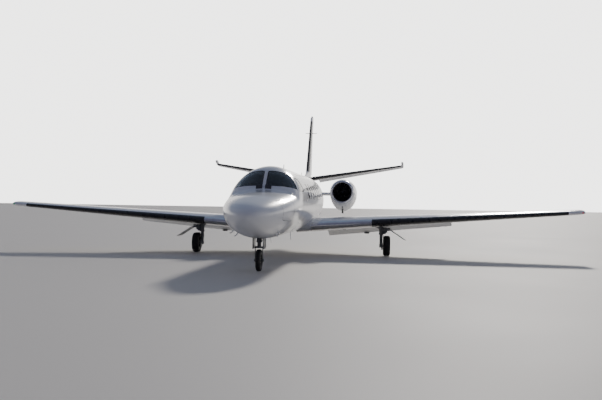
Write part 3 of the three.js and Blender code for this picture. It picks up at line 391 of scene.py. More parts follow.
def burnt_metal():
    """Exhaust metal, browner towards its rear edge"""
    metal = Finish("burnt_metal", {"Metallic": 1.0})
    heat = metal.between(metal.y + metal.noise(5.0) * 0.3, 3.5, 4.3)
    metal.set("Base Color", metal.mix(heat, (0.36, 0.35, 0.34), (0.2, 0.15, 0.11)))
    metal.rough(14.0, 0.3, 0.5)
    metal.bump(metal.noise(90.0, 1.0), 0.0004, 0.4)
    return metal.material


def boot_rubber():
    """De-ice boot: black rubber with long inflation tubes under it"""
    rubber = Finish("boot_rubber", {"IOR": 1.5})
    from_edge = rubber.y + rubber.x * -WING["sweep"]
    tubes = rubber.seams(from_edge, start=0.0, pitch=0.032, width=0.009)
    dust = rubber.noise(3.0, 5.0, (0.3, 2, 2))
    rubber.set("Base Color", rubber.mix(dust, (0.012, 0.012, 0.014), (0.035, 0.034, 0.034)))
    rubber.rough(7.0, 0.22, 0.38)
    rubber.bump(rubber.noise(160.0, 1.0) * 0.2 - tubes * 0.5, 0.0008)
    return rubber.material


def tyre_rubber():
    rubber = Finish("tyre_rubber", {"IOR": 1.5})
    dust = rubber.between(rubber.noise(16.0, 5.0), 0.4, 0.75)
    rubber.set("Base Color", rubber.mix(dust * 0.5, (0.014, 0.014, 0.015), (0.06, 0.056, 0.052)))
    rubber.set("Roughness", rubber.between(dust, 0.0, 1.0, 0.62, 0.88))
    rubber.bump(rubber.noise(220.0, 2.0), 0.0008, 0.6)
    return rubber.material


def dull_plastic(name, color, grain=300.0, low=0.5, high=0.7):
    plastic = Finish(name, {"IOR": 1.48})
    plastic.set("Base Color", plastic.mix(plastic.noise(8.0, 4.0), color, dimmed(color, 0.75)))
    plastic.rough(30.0, low, high)
    plastic.bump(plastic.noise(grain, 2.0), 0.0004, 0.6)
    return plastic.material


def leather():
    """Grained leather with sewn channels across each cushion"""
    hide = Finish("seat_leather", {"IOR": 1.45, "Sheen Weight": 0.15})
    cells = {"Vector": hide.where, "Scale": 260.0}
    grain = hide.node("TexVoronoi", {"feature": "DISTANCE_TO_EDGE"}, cells)
    folds = hide.noise(18.0, 4.0)
    channels = hide.seams(hide.x.math("ABSOLUTE"), start=SEAT["x"], pitch=0.1, width=0.005)
    hide.set("Base Color", hide.mix(folds, (0.34, 0.27, 0.2), (0.25, 0.195, 0.14)))
    hide.set("Roughness", hide.between(folds, *NOISE_RANGE, 0.42, 0.58))
    hide.bump(hide.between(grain, 0.0, 0.2) * 0.3 + folds * 0.4 - channels * 1.5, 0.002)
    return hide.material


def carpet():
    pile = Finish("floor_carpet", {"Sheen Weight": 0.3})
    loops = pile.node("TexVoronoi", values={"Vector": pile.where, "Scale": 320.0})
    pile.set("Base Color", pile.mix(pile.noise(30.0, 5.0), (0.11, 0.1, 0.09), (0.2, 0.18, 0.16)))
    pile.set("Roughness", pile.between(loops, 0.0, 0.6, 0.85, 1.0))
    pile.bump(1 - loops, 0.003)
    return pile.material


def clear_acrylic(name, tint, rough=0.02):
    glass = Finish(name, {"IOR": 1.49, "Transmission Weight": 1.0})
    smear = glass.between(glass.noise(4.0, 5.0), 0.4, 0.8)
    glass.set("Base Color", glass.mix(smear * 0.25, tint, dimmed(tint, 0.9)))
    glass.set("Roughness", glass.between(smear, 0.0, 1.0, rough, rough + 0.03))
    return glass.material


def lit_screen():
    """A display with generic level bands, faintly lit"""
    screen = Finish("lit_screen", {"Roughness": 0.12, "Emission Strength": 0.5, "IOR": 1.5})
    sky = screen.between(screen.z, 1.46, 1.465)
    rows = screen.seams(screen.z, start=1.4, pitch=0.03, width=0.0022)
    columns = screen.seams(screen.x, start=0.0, pitch=0.045, width=0.0018)
    picture = screen.mix(sky, (0.06, 0.035, 0.015), (0.02, 0.06, 0.13))
    picture = screen.mix(rows.math("MAXIMUM", columns) * 0.5, picture, (0.3, 0.4, 0.4))
    screen.set("Base Color", picture)
    screen.set("Emission Color", picture)
    return screen.material


def lamp_lens(name, color, glow):
    lens = Finish(name, {"Transmission Weight": 0.4, "Emission Strength": glow, "IOR": 1.5})
    ribs = lens.seams(lens.z, start=0.0, pitch=0.008, width=0.003)
    tint = lens.mix(ribs * 0.4, color, dimmed(color, 0.6))
    lens.set("Base Color", tint)
    lens.set("Emission Color", tint)
    lens.rough(20.0, 0.05, 0.15)
    lens.bump(ribs, 0.001)
    return lens.material


BODY_PAINT = white_paint("body_paint", fuselage_seams)
WING_PAINT = white_paint("wing_paint", wing_seams)
SMALL_PAINT = white_paint("small_paint", small_seams)
POLISHED = polished_metal("polished_edge", (0.74, 0.74, 0.76), 0.1, 0.22)
CHROME = polished_metal("chrome_piston", (0.8, 0.8, 0.8), 0.06, 0.12, 20.0)
STEEL = polished_metal("gear_steel", (0.5, 0.5, 0.51), 0.3, 0.45, 20.0)
TITANIUM = polished_metal("fan_titanium", (0.42, 0.42, 0.44), 0.22, 0.36, 20.0)
DARK_METAL = polished_metal("dark_metal", (0.12, 0.12, 0.125), 0.4, 0.6, 12.0)
BURNT = burnt_metal()
BOOT = boot_rubber()
TYRE = tyre_rubber()
LEATHER = leather()
CARPET = carpet()
TRIM = dull_plastic("cabin_trim", (0.5, 0.46, 0.4))
BAY_LINER = dull_plastic("bay_liner", (0.34, 0.34, 0.33))
SEAL = dull_plastic("window_seal", (0.02, 0.02, 0.022), 180.0)
BLACK_PLASTIC = dull_plastic("black_plastic", (0.022, 0.022, 0.025), 240.0)
GREY_PLASTIC = dull_plastic("grey_plastic", (0.16, 0.16, 0.17), 240.0)
# Gear paint darker than the real grey gear: partly painted shade of the gear under the wings
GEAR_PAINT_AND_SHADE = dull_plastic("gear_paint_and_shade", (0.2, 0.205, 0.21), 120.0, 0.25, 0.4)
WEBBING = dull_plastic("belt_webbing", (0.05, 0.05, 0.055), 500.0, 0.7, 0.9)
WINDSHIELD_GLASS = clear_acrylic("windshield_acrylic", (0.5, 0.54, 0.56))
CABIN_GLASS = clear_acrylic("cabin_acrylic", (0.2, 0.21, 0.22))
SCREEN = lit_screen()
LAMP = lamp_lens("clear_lamp", (0.9, 0.9, 0.86), 0.6)
RED_LENS = lamp_lens("red_lens", (0.6, 0.02, 0.01), 0.3)
GREEN_LENS = lamp_lens("green_lens", (0.02, 0.45, 0.12), 0.3)
# Slots of the body's skins: paint, lining of the rooms, rubber at the openings
LINING, EDGE = 1, 2
BODY_FINISHES = (BODY_PAINT, BAY_LINER, SEAL)
CABIN_FINISHES = (BODY_PAINT, TRIM, SEAL)

# Slots of the wings and the tail: paint, de-ice boot, polished metal, faces that a cut opens
DE_ICE, BARE, OPENED = 1, 2, 3
WING_FINISHES = (WING_PAINT, BOOT, POLISHED, BAY_LINER)
TAIL_FINISHES = (SMALL_PAINT, BOOT, POLISHED, BAY_LINER)


# Shapes

def unique(elements):
    """Each element once, in the order in which they come"""
    return list(dict.fromkeys(elements))


def put_in_order(bm, verts):
    """Sorts a shape's elements along a list of its vertices, so that each run gives the same mesh"""
    rank = {vert: number for number, vert in enumerate(verts)}
    bm.verts.sort(key=rank.get)
    bm.verts.index_update()

    def place(element):
        numbers = [vert.index for vert in element.verts]
        return min(numbers) * len(verts) + max(numbers)

    bm.edges.sort(key=place)
    bm.faces.sort(key=place)


def loft(rings, capped=True):
    """A surface drawn from ring to ring; open rings end in a cap, wrapped ones close on themselves"""
    bm = bmesh.new()
    verts = [bm.verts.new(point) for point in rings[0]]
    loop = [bm.edges.new(pair) for pair in zip(verts, verts[1:] + verts[:1])]
    first, drawn = loop, list(verts)
    for ring in rings[1:]:
        made = set(bmesh.ops.extrude_edge_only(bm, edges=loop)["geom"])
        verts = [next(e.other_vert(v) for e in v.link_edges if e.other_vert(v) in made) for v in verts]
        for vert, point in zip(verts, ring):
            vert.co = point
        loop = [bm.edges.get(pair) for pair in zip(verts, verts[1:] + verts[:1])]
        drawn += verts
    if capped:
        for end in (first, loop):
            bmesh.ops.edgeloop_fill(bm, edges=end)
    put_in_order(bm, drawn)
    if not capped:
        bmesh.ops.remove_doubles(bm, verts=bm.verts, dist=MERGE_DISTANCE)
    bmesh.ops.recalc_face_normals(bm, faces=bm.faces)
    return bm


def finished(bm):
    """The mesh of a shape, with room for its finishes"""
    mesh = bpy.data.meshes.new("work")
    bm.to_mesh(mesh)
    bm.free()
    for _ in range(SLOTS):
        mesh.materials.append(None)
    return mesh


def mesh_of(bm, index=0, slot_at=None):
    """The mesh of a shape, each face in one material slot"""
    for face in bm.faces:
        face.material_index = slot_at(face.calc_center_median()) if slot_at else index
    return finished(bm)


def cube(low, high, index=0):
    bm = bmesh.new()
    bmesh.ops.create_cube(bm, size=1)
    low, high = Vector(low), Vector(high)
    bmesh.ops.scale(bm, vec=high - low, verts=bm.verts)
    bmesh.ops.translate(bm, vec=(low + high) / 2, verts=bm.verts)
    return mesh_of(bm, index)


def merged(meshes):
    bm = bmesh.new()
    for mesh in meshes:
        bm.from_mesh(mesh)
    return finished(bm)


def placed(mesh, matrix):
    """A copy of a mesh, moved; a mirrored copy has its faces turned back"""
    copy = mesh.copy()
    copy.transform(matrix)
    if matrix.determinant() < 0:
        copy.flip_normals()
    return copy


def carved(base, operation, *tools):
    """The base cut by, kept inside, or joined with each tool in turn"""
    for tool in tools:
        work = [bpy.data.objects.new("work", mesh) for mesh in (base, tool)]
        for obj in work:
            bpy.context.scene.collection.objects.link(obj)
        cut = work[0].modifiers.new("cut", "BOOLEAN")
        cut.operation = operation
        cut.solver = "EXACT"
        cut.material_mode = "INDEX"
        cut.object = work[1]
        depsgraph = bpy.context.evaluated_depsgraph_get()
        base = bpy.data.meshes.new_from_object(work[0].evaluated_get(depsgraph))
        for obj in work:
            bpy.data.objects.remove(obj)
    return base


def kept_largest(mesh):
    """Only the biggest loose body of a mesh"""
    bm = bmesh.new()
    bm.from_mesh(mesh)
    seen = set()
    groups = []
    for start in bm.verts:
        if start in seen:
            continue
        seen.add(start)
        group = [start]
        for vert in group:
            fresh = [e.other_vert(vert) for e in vert.link_edges if e.other_vert(vert) not in seen]
            seen.update(fresh)
            group += fresh
        groups.append(group)
    groups.sort(key=len)
    bmesh.ops.delete(bm, geom=[vert for group in groups[:-1] for vert in group], context="VERTS")
    return finished(bm)


def piece(name, mesh, finishes, body="airframe", slot="white_paint", replaces=(), sharp=32):
    """A named piece of the aircraft at the origin, riding on a body"""
    mesh = mesh.copy()
    mesh.name = name
    slots = [min(face.material_index, len(finishes) - 1) for face in mesh.polygons]
    mesh.materials.clear()
    for finish in finishes:
        mesh.materials.append(finish)
    mesh.polygons.foreach_set("material_index", slots)
    mesh.shade_smooth()
    mesh.set_sharp_from_angle(angle=math.radians(sharp))
    obj = bpy.data.objects.new(name, mesh)
    bpy.context.scene.collection.objects.link(obj)
    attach(obj, body)
    if replaces:
        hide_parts(*replaces)
    return obj


def pair(name, mesh, finishes, body="airframe", slot="white_paint", replaces=(), sharp=32):
    """A piece on the left and its mirror image on the right; names that end in _ take the side's name"""
    for side, sign in SIDES:
        own = mesh if sign > 0 else placed(mesh, FLIP)
        rides = body + side if body.endswith("_") else body
        piece(f"{name}_{side}", own, finishes, rides, slot, [node + side for node in replaces], sharp)


def turns(steps):
    """Even angles round a circle"""
    return [2 * math.pi * k / steps for k in range(steps)]


def closed(points):
    return [*points, points[0]]


def from_axis(*profile):
    """A profile that starts and ends on its axis"""
    return [(profile[0][0], 0.0), *profile, (profile[-1][0], 0.0)]


class Parts:
    """Small shapes gathered in one mesh; new faces take the slot in use"""

    def __init__(self):
        self.bm = bmesh.new()
        self.index = 0

    def fresh(self):
        return [face for face in self.bm.faces if not face.tag]

    def mark(self):
        for face in self.fresh():
            face.material_index = self.index
            face.tag = True
        return self

    def use(self, index):
        self.index = index
        return self

    def rod(self, start, end, radius, end_radius=None, segments=24):
        start, end = Vector(start), Vector(end)
        way = end - start
        place = Matrix.Translation((start + end) / 2) @ way.to_track_quat("Z", "Y").to_matrix().to_4x4()
        bmesh.ops.create_cone(
            self.bm, cap_ends=True, segments=segments, radius1=radius,
            radius2=radius if end_radius is None else end_radius, depth=way.length, matrix=place,
        )
        return self.mark()

    def block(self, low, high, bevel=0.004, turn=None):
        low, high = Vector(low), Vector(high)
        verts = bmesh.ops.create_cube(self.bm, size=1)["verts"]
        bmesh.ops.scale(self.bm, vec=high - low, verts=verts)
        bmesh.ops.translate(self.bm, vec=(low + high) / 2, verts=verts)
        if turn:
            bmesh.ops.transform(self.bm, matrix=turn, verts=verts)
        edges = unique(edge for vert in verts for edge in vert.link_edges)
        bmesh.ops.bevel(
            self.bm, geom=edges, offset=bevel, affect="EDGES", segments=2, profile=0.5, material=-1,
        )
        return self.mark()

    def slab(self, x, half, low, high, bevel=0.004, turn=None):
        """A block even about a place across, from one place along and height to another"""
        return self.block((x - half, *low), (x + half, *high), bevel, turn)

    def turned(self, profile, centre, axis, steps=40):
        """A profile of (place along the axis, radius) spun round it"""
        axis = Vector(axis).normalized()
        across = axis.orthogonal().normalized()
        centre = Vector(centre)
        verts = [self.bm.verts.new(centre + axis * along + across * radius) for along, radius in profile]
        edges = [self.bm.edges.new(two) for two in zip(verts, verts[1:])]
        bmesh.ops.spin(
            self.bm, geom=verts + edges, cent=centre, axis=axis, angle=2 * math.pi, steps=steps,
            use_merge=True, use_duplicate=False,
        )
        corners = unique(vert for face in self.fresh() for vert in face.verts)
        bmesh.ops.remove_doubles(self.bm, verts=corners, dist=MERGE_DISTANCE)
        bmesh.ops.recalc_face_normals(self.bm, faces=self.fresh())
        return self.mark()

    def hose(self, points, radius, segments=8):
        """A bent tube through points"""
        points = [Vector(point) for point in points]
        for start, end in zip(points, points[1:]):
            self.rod(start, end, radius, segments=segments)
        for point in points[1:-1]:
            place = Matrix.Translation(point)
            bmesh.ops.create_uvsphere(self.bm, u_segments=segments, v_segments=6, radius=radius, matrix=place)
        return self.mark()

    def mesh(self):
        return finished(self.bm)


def smooth_curve(places, values):
    """A cubic through the values that never overshoots them"""
    gaps = [b - a for a, b in zip(places, places[1:])]
    slopes = [(b - a) / gap for a, b, gap in zip(values, values[1:], gaps)]
    bends = [slopes[0]]
    bends += [0 if a * b <= 0 else 2 * a * b / (a + b) for a, b in zip(slopes, slopes[1:])]
    bends.append(slopes[-1])

    def at(place):
        i = sum(1 for start in places[1:-1] if start <= place)
        gap = gaps[i]
        t = min(max((place - places[i]) / gap, 0), 1)
        rise = t * t * (3 - 2 * t)
        lead = t * (1 - t) ** 2 * bends[i] * gap
        tail = t * t * (t - 1) * bends[i + 1] * gap
        return values[i] + (values[i + 1] - values[i]) * rise + lead + tail

    return at


class Skin:
    """A streamlined skin through a table of sections, eased by the root of the distance from its front"""

    def __init__(self, rows, x=0.0):
        self.front = rows[0][0]
        self.x = x
        places = [math.sqrt(row[0] - self.front) for row in rows]
        curves = [smooth_curve(places, [row[k] for row in rows]) for k in range(1, 5)]
        self.half, self.low, self.high, self.wide = curves

    def point(self, y, degrees, depth=0.0):
        place = math.sqrt(max(y - self.front, 0))
        wide = self.wide(place)
        angle = math.radians(degrees)
        reach = self.high(place) - wide if math.sin(angle) > 0 else wide - self.low(place)
        across = max(self.half(place) - depth, 0.002) * math.cos(angle)
        return Vector((self.x + across, y, wide + max(reach - depth, 0.002) * math.sin(angle)))

    def side(self, y, z):
        """How far out the skin stands at a height"""
        place = math.sqrt(max(y - self.front, 0))
        wide = self.wide(place)
        reach = self.high(place) - wide if z > wide else wide - self.low(place)
        return self.half(place) * math.sqrt(max(1 - ((z - wide) / reach) ** 2, 0))

    def ring(self, y, depth=0.0, steps=RING_STEPS):
        return [self.point(y, 360 * k / steps, depth) for k in range(steps)]


fuselage = Skin(FUSELAGE)


def even(start, end, step):
    count = max(1, round((end - start) / step))
    return [start + (end - start) * k / count for k in range(count + 1)]


def hull(places, depth=0.0, index=0):
    return mesh_of(loft([fuselage.ring(y, depth) for y in places]), index)


def grown(outline, distance):
    """An outline on the skin with all its sides moved outward"""
    flat = [Vector((y, degrees * PER_DEGREE)) for y, degrees in outline]
    middle = sum(flat, Vector((0, 0))) / len(flat)
    lines = []
    for point, after in zip(flat, flat[1:] + flat[:1]):
        way = (after - point).normalized()
        out = Vector((way.y, -way.x))
        if out.dot(point - middle) < 0:
            out.negate()
        lines.append((point + out * distance, way))
    result = []
    for (before, way), (start, along) in zip(lines[-1:] + lines[:-1], lines):
        cross = way.cross(along)
        corner = start
        if abs(cross) > 1e-6:
            corner = before + way * ((start - before).cross(along) / cross)
        result.append((corner.x, corner.y / PER_DEGREE))
    return result


def rounded(outline, radius):
    """An outline on the skin with soft corners and close points"""
    flat = [Vector((y, degrees * PER_DEGREE)) for y, degrees in outline]

    def cut_back(side):
        return side * min(radius / side.length, CORNER_SHARE)

    result = []
    for before, corner, after in zip(flat[-1:] + flat[:-1], flat, flat[1:] + flat[:1]):
        start = corner + cut_back(before - corner)
        end, far = corner + cut_back(after - corner), after - cut_back(after - corner)
        for k in range(CORNER_POINTS):
            t = k / (CORNER_POINTS - 1)
            result.append(start * (1 - t) ** 2 + corner * 2 * t * (1 - t) + end * t * t)
        count = max(1, round((far - end).length / OUTLINE_STEP))
        result += [end + (far - end) * k / count for k in range(1, count)]
    return [(point.x, point.y / PER_DEGREE) for point in result]


def skin_cutter(outline, sign=1):
    """A plug through the skin along an outline on it"""
    rings = []
    for depth in PLUG_DEPTHS:
        ring = [fuselage.point(y, degrees, depth) for y, degrees in outline]
        rings.append([Vector((sign * p.x, p.y, p.z)) for p in ring])
    return mesh_of(loft(rings), EDGE)


def window_outline(y, shrink=0.0):
    """The rounded outline of a cabin window"""
    half, tall = CABIN_WINDOW["half"] - shrink, CABIN_WINDOW["tall"] - shrink
    count = CABIN_WINDOW["points"]
    outline = []
    for k in range(count):
        angle = 2 * math.pi * (k + 0.5) / count
        bend = CABIN_WINDOW["roundness"]
        along, up = (math.copysign(abs(v) ** bend, v) for v in (math.cos(angle), math.sin(angle)))
        degrees = math.degrees(tall * up / SHELL_RADIUS)
        outline.append((y + half * along, CABIN_WINDOW["degrees"] + degrees))
    return outline


def window_places(sign):
    """The windows along a side: one more, ahead of the others, on the side without the door"""
    extra = 1 if sign < 0 else 0
    first = CABIN_WINDOW["first"] - extra * CABIN_WINDOW["pitch"]
    return [first + k * CABIN_WINDOW["pitch"] for k in range(CABIN_WINDOW["count"] + extra)]


def corner_inset(distance, radius):
    """How far an edge gives way near the end of its side"""
    near = radius - min(max(distance, 0), radius)
    return radius - math.sqrt(radius * radius - near * near)


def eased(low, high, radius, middle):
    """Places from low to high, closer together near both ends"""
    ends = [radius * (1 - math.cos(math.radians(15 * k))) for k in range(7)]
    inner = even(low + radius, high - radius, middle)[1:-1]
    return [low + e for e in ends] + inner + [high - e for e in reversed(ends)]


def cabin_door_cutter(gap, hinge_gap):
    """The passenger door's opening: its rear edge leans so that the door swings clear"""
    low, high = CABIN_DOOR["low"] + gap, CABIN_DOOR["high"] - gap
    rear = CABIN_DOOR["rear"] - gap
    inside, outside = CABIN_DOOR_CUT["inside"], CABIN_DOOR_CUT["outside"]
    rings = []
    for z in eased(low, high, CABIN_DOOR["corner"], CABIN_DOOR_CUT["step"]):
        inset = corner_inset(min(z - low, high - z), CABIN_DOOR["corner"])
        skin_x = fuselage.side(CABIN_DOOR["rear"], z)
        front = CABIN_DOOR["front"] + hinge_gap + inset
        ring = [(x, rear - inset + CABIN_DOOR["slope"] * (x - skin_x), z) for x in (outside, inside)]
        rings.append([Vector(p) for p in ((inside, front, z), (outside, front, z), *ring)])
    return mesh_of(loft(rings), EDGE)


def lid_cutter(door, gap, top):
    """A lid under its hinge line, with a lower edge at one distance from it"""
    hinge_z = door["hinge_z"]
    start, end = (Vector((fuselage_x(y, hinge_z), y, hinge_z)) for y in (door["front"], door["rear"]))
    way = (end - start).normalized()
    out = Vector((way.y, -way.x, 0))
    start, end = start + out * door["out"], end + out * door["out"]
    length = (end - start).length
    rings = []
    for along in eased(gap, length - gap, LID["corner"], LID["step"]):
        inset = corner_inset(min(along - gap, length - gap - along), LID["corner"])
        radius = door["reach"] - gap - inset
        ring = []
        for k in range(LID["arc"] + 1):
            angle = -math.pi * k / LID["arc"]
            drop = Vector((0, 0, min(radius * math.sin(angle), top)))
            ring.append(start + way * along + out * radius * math.cos(angle) + drop)
        rings.append(ring)
    return mesh_of(loft(rings), EDGE)


def fuselage_x(y, z):
    """Where the plain table puts the skin at a height, as the source does for its hinge lines"""
    after = next(k for k, row in enumerate(FUSELAGE) if row[0] > y)
    a, b = FUSELAGE[after - 1], FUSELAGE[after]
    t = (y - a[0]) / (b[0] - a[0])
    half, low, high, wide = (a[k] + (b[k] - a[k]) * t for k in range(1, 5))
    reach = high - wide if z > wide else wide - low
    return half * math.sqrt(max(1 - ((z - wide) / reach) ** 2, 0))


# Fuselage

COCKPIT_PLACES = even(COCKPIT_JOINT, COCKPIT_END, COCKPIT_STEP)
CABIN_PLACES = COCKPIT_PLACES + even(COCKPIT_END, TAILCONE_JOINT, CABIN_STEP)[1:]
TAIL_PLACES = even(TAILCONE_JOINT, TAIL_END, TAIL_STEP)


def make_nose():
    length, steps = RADOME_JOINT - NOSE_Y, 16
    places = [NOSE_Y + length * (k / steps) ** 2 for k in range(steps + 1)]
    piece("nose_cone", hull(places), [SMALL_PAINT], slot="composite_paint", replaces=["radome"])
    solid = hull(even(RADOME_JOINT, COCKPIT_JOINT, NOSE_STEP))
    bay = hull(even(NOSE_BAY["front"], NOSE_BAY["rear"], NOSE_STEP), NOSE_WALL, LINING)
    room = cube((-SHELL_RADIUS, NOSE_Y, NOSE_BAY["floor"]), (SHELL_RADIUS, COCKPIT_JOINT, CROWN), LINING)
    wall = carved(solid, "DIFFERENCE", carved(bay, "INTERSECT", room))
    door = kept_largest(carved(wall, "INTERSECT", lid_cutter(NOSE_DOOR, DOOR_GAP, -HINGE_GAP)))
    pair("nose_bay_lid", door, BODY_FINISHES, "nose_bay_door_", replaces=["nose_bay_door_"])
    space = lid_cutter(NOSE_DOOR, 0, 0)
    gear_room = well_cutter(-NOSE_WELL["half"], NOSE_WELL["half"], NOSE_WELL, LINING)
    wall = carved(wall, "DIFFERENCE", space, placed(space, FLIP), gear_room)
    piece("nose_skin", wall, BODY_FINISHES, replaces=["nose_section"])


def well_cutter(inner, outer, well, index):
    """The room of a wheel well, from below the aircraft to the well's top"""
    return cube((inner, well["front"], WELL_FOOT), (outer, well["rear"], well["top"]), index)


def make_cabin():
    room = hull([COCKPIT_JOINT - CUT_PAST, *CABIN_PLACES[1:-1], CABIN_BULKHEAD], CABIN_WALL, LINING)
    wall = carved(hull(CABIN_PLACES), "DIFFERENCE", room)
    shield = rounded(WINDSHIELD, WINDSHIELD_CORNER)
    side_pane = rounded(SIDE_WINDOW, SIDE_CORNER)
    holes = []
    for _, sign in SIDES:
        outlines = [shield, side_pane, *(window_outline(y) for y in window_places(sign))]
        holes += [skin_cutter(outline, sign) for outline in outlines]
    openings = merged(holes)
    exit_space = skin_cutter(rounded(EXIT_OUTLINE, EXIT_CORNER), -1)
    exit_plug = skin_cutter(rounded(grown(EXIT_OUTLINE, -EXIT_GAP), EXIT_CORNER), -1)
    plug = kept_largest(carved(wall, "INTERSECT", exit_plug))
    piece("exit_hatch", carved(plug, "DIFFERENCE", openings), CABIN_FINISHES, replaces=["emergency_exit"])
    door = kept_largest(carved(wall, "INTERSECT", cabin_door_cutter(DOOR_GAP, HINGE_GAP)))
    piece("passenger_door", door, CABIN_FINISHES, "cabin_door", replaces=["cabin_door"])
    shell = carved(wall, "DIFFERENCE", openings, exit_space, cabin_door_cutter(0, 0))
    piece("cabin_skin", shell, CABIN_FINISHES, replaces=["cabin_shell"])
    make_cockpit_glazing()
    make_cabin_glazing()


def glass_band(places, depths):
    """A band of the skin between two depths, open at both ends"""
    outer, inner = depths
    room = [places[0] - 2 * CUT_PAST, *places[1:-1], places[-1] + 2 * CUT_PAST]
    return carved(hull(places, outer), "DIFFERENCE", hull(room, inner))


def seal_ring(band, whole, inside):
    return carved(carved(band, "INTERSECT", whole), "DIFFERENCE", inside)


def make_cockpit_glazing():
    """Acrylic panes in rubber seals, and the painted sill under the windshield"""
    places = even(COCKPIT_JOINT, COCKPIT_BAND_END, COCKPIT_STEP)
    pane_band, seal_band = glass_band(places, COCKPIT_PANE), glass_band(places, COCKPIT_SEAL)
    pane = GLASS_FOOT + WINDSHIELD[5:]
    for name, outline, corner, node in (
        ("windshield_pane", pane, WINDSHIELD_CORNER, "windshield_"),
        ("cockpit_side_pane", SIDE_WINDOW, SIDE_CORNER, "side_window_"),
    ):
        whole = skin_cutter(rounded(grown(outline, -SEAT_GAP), corner))
        inside = skin_cutter(rounded(grown(outline, -SEAL_WIDTH), corner * 0.8))
        glass = carved(pane_band, "INTERSECT", inside)
        pair(name, glass, [WINDSHIELD_GLASS], slot="windshield_glass", replaces=[node], sharp=50)
        seal = seal_ring(seal_band, whole, inside)
        pair(name + "_seal", seal, [SEAL], slot="panel_plastic", sharp=50)
    opening = skin_cutter(rounded(grown(WINDSHIELD, -SEAT_GAP), WINDSHIELD_CORNER))
    sill = seal_ring(seal_band, opening, skin_cutter(rounded(pane, WINDSHIELD_CORNER)))
    pair("windshield_sill", kept_largest(sill), [SMALL_PAINT], sharp=50)


def make_cabin_glazing():
    """A strip of acrylic panes in rubber seals along each side of the cabin"""
    places = even(*CABIN_BAND, CABIN_STEP)
    pane_band, seal_band = glass_band(places, CABIN_PANE), glass_band(places, CABIN_SEAL)
    for side, sign in SIDES:
        windows = window_places(sign)
        whole = merged([skin_cutter(window_outline(y, SEAT_GAP), sign) for y in windows])
        inside = merged([skin_cutter(window_outline(y, SEAL_WIDTH), sign) for y in windows])
        panes = carved(pane_band, "INTERSECT", inside)
        node = f"cabin_glazing_{side}"
        piece(f"cabin_panes_{side}", panes, [CABIN_GLASS], slot="cabin_glass", replaces=[node], sharp=50)
        seals = seal_ring(seal_band, whole, inside)
        piece(f"cabin_pane_seals_{side}", seals, [SEAL], slot="panel_plastic", sharp=50)


def make_rain_nozzles():
    """Black hot-air nozzles on the sill, one each side of the windshield post"""
    tall = NOZZLE["top"] - NOZZLE["foot"]
    tilt = Matrix.Rotation(math.radians(NOZZLE["lean"]), 4, "X")
    lean = Matrix.Translation((0, NOZZLE["y"], NOZZLE["foot"])) @ tilt
    parts = Parts().block((NOZZLE["inner"], 0, 0), (NOZZLE["outer"], NOZZLE["thick"], tall), 0.006, lean)
    parts.use(1)
    low, high = tall - NOZZLE_SLOT["low"], tall - NOZZLE_SLOT["high"]
    for k in range(NOZZLE_SLOT["count"]):
        x = NOZZLE["inner"] + NOZZLE_SLOT["first"] + NOZZLE_SLOT["pitch"] * k
        parts.block((x, -0.0015, low), (x + NOZZLE_SLOT["width"], 0.002, high), 0.0005, lean)
    pair("rain_nozzles", parts.mesh(), [BLACK_PLASTIC, DARK_METAL], slot="panel_plastic")


def make_tailcone():
    places = [TAILCONE_JOINT - CUT_PAST, *(y for y in TAIL_PLACES[1:] if y < TAIL_BULKHEAD), TAIL_BULKHEAD]
    wall = carved(hull(TAIL_PLACES), "DIFFERENCE", hull(places, TAIL_WALL, LINING))
    door = kept_largest(carved(wall, "INTERSECT", lid_cutter(REAR_DOOR, DOOR_GAP, -HINGE_GAP)))
    piece("rear_bay_lid", door, BODY_FINISHES, "rear_bay_door", replaces=["rear_bay_door"])
    skin = carved(wall, "DIFFERENCE", lid_cutter(REAR_DOOR, 0, 0))
    piece("tail_skin", skin, BODY_FINISHES, replaces=["tailcone"])


# Wings and tail

def aerofoil(x, lead, chord, z, thickness, camber=0.0, incidence=0.0, upright=False, steps=22):
    """The points of an aerofoil section, from the trailing edge over the top and back below"""
    places = [(1 - math.cos(math.pi * k / steps)) / 2 for k in range(steps + 1)]
    pivot = 0.25

    def half(t):
        bow = 0.2969 * math.sqrt(t) - 0.126 * t - 0.3516 * t**2 + 0.2843 * t**3 - 0.1015 * t**4
        return 5 * thickness * bow

    def middle(t):
        return camber * 4 * t * (1 - t)

    upper = [(t, middle(t) + half(t)) for t in reversed(places)]
    lower = [(t, middle(t) - half(t)) for t in places[1:]]
    tilt = math.radians(incidence)
    points = []
    for t, up in upper + lower:
        along = (t - pivot) * math.cos(tilt) + up * math.sin(tilt)
        rise = up * math.cos(tilt) - (t - pivot) * math.sin(tilt)
        y = lead + (pivot + along) * chord
        points.append(Vector((rise * chord, y, z)) if upright else Vector((x, y, z + rise * chord)))
    return points


def tip_thickness(thickness, share):
    """A section's thickness where the rounded tip has a share of the full chord"""
    return thickness * (0.4 + 0.6 * share)


def spanned(section, ribs, end, tip, slot_at):
    """A surface through its ribs, closed by a rounded tip"""
    places = [(rib, 1.0) for rib in ribs] + [(end - inset, share) for inset, share in tip]
    return mesh_of(loft([section(place, share) for place, share in places]), slot_at=slot_at)


def hinge_frame(start, end):
    """A frame with its x along a hinge and its y level, towards the tail"""
    along = (end - start).normalized()
    level = (Vector(ALONG) - along * along.y).normalized()
    up = along.cross(level)
    matrix = Matrix((along, level, up)).transposed().to_4x4()
    matrix.translation = start
    return matrix


def turn_about(start, end, degrees):
    turn = Matrix.Rotation(math.radians(degrees), 4, (end - start).normalized())
    return Matrix.Translation(start) @ turn @ Matrix.Translation(-start)


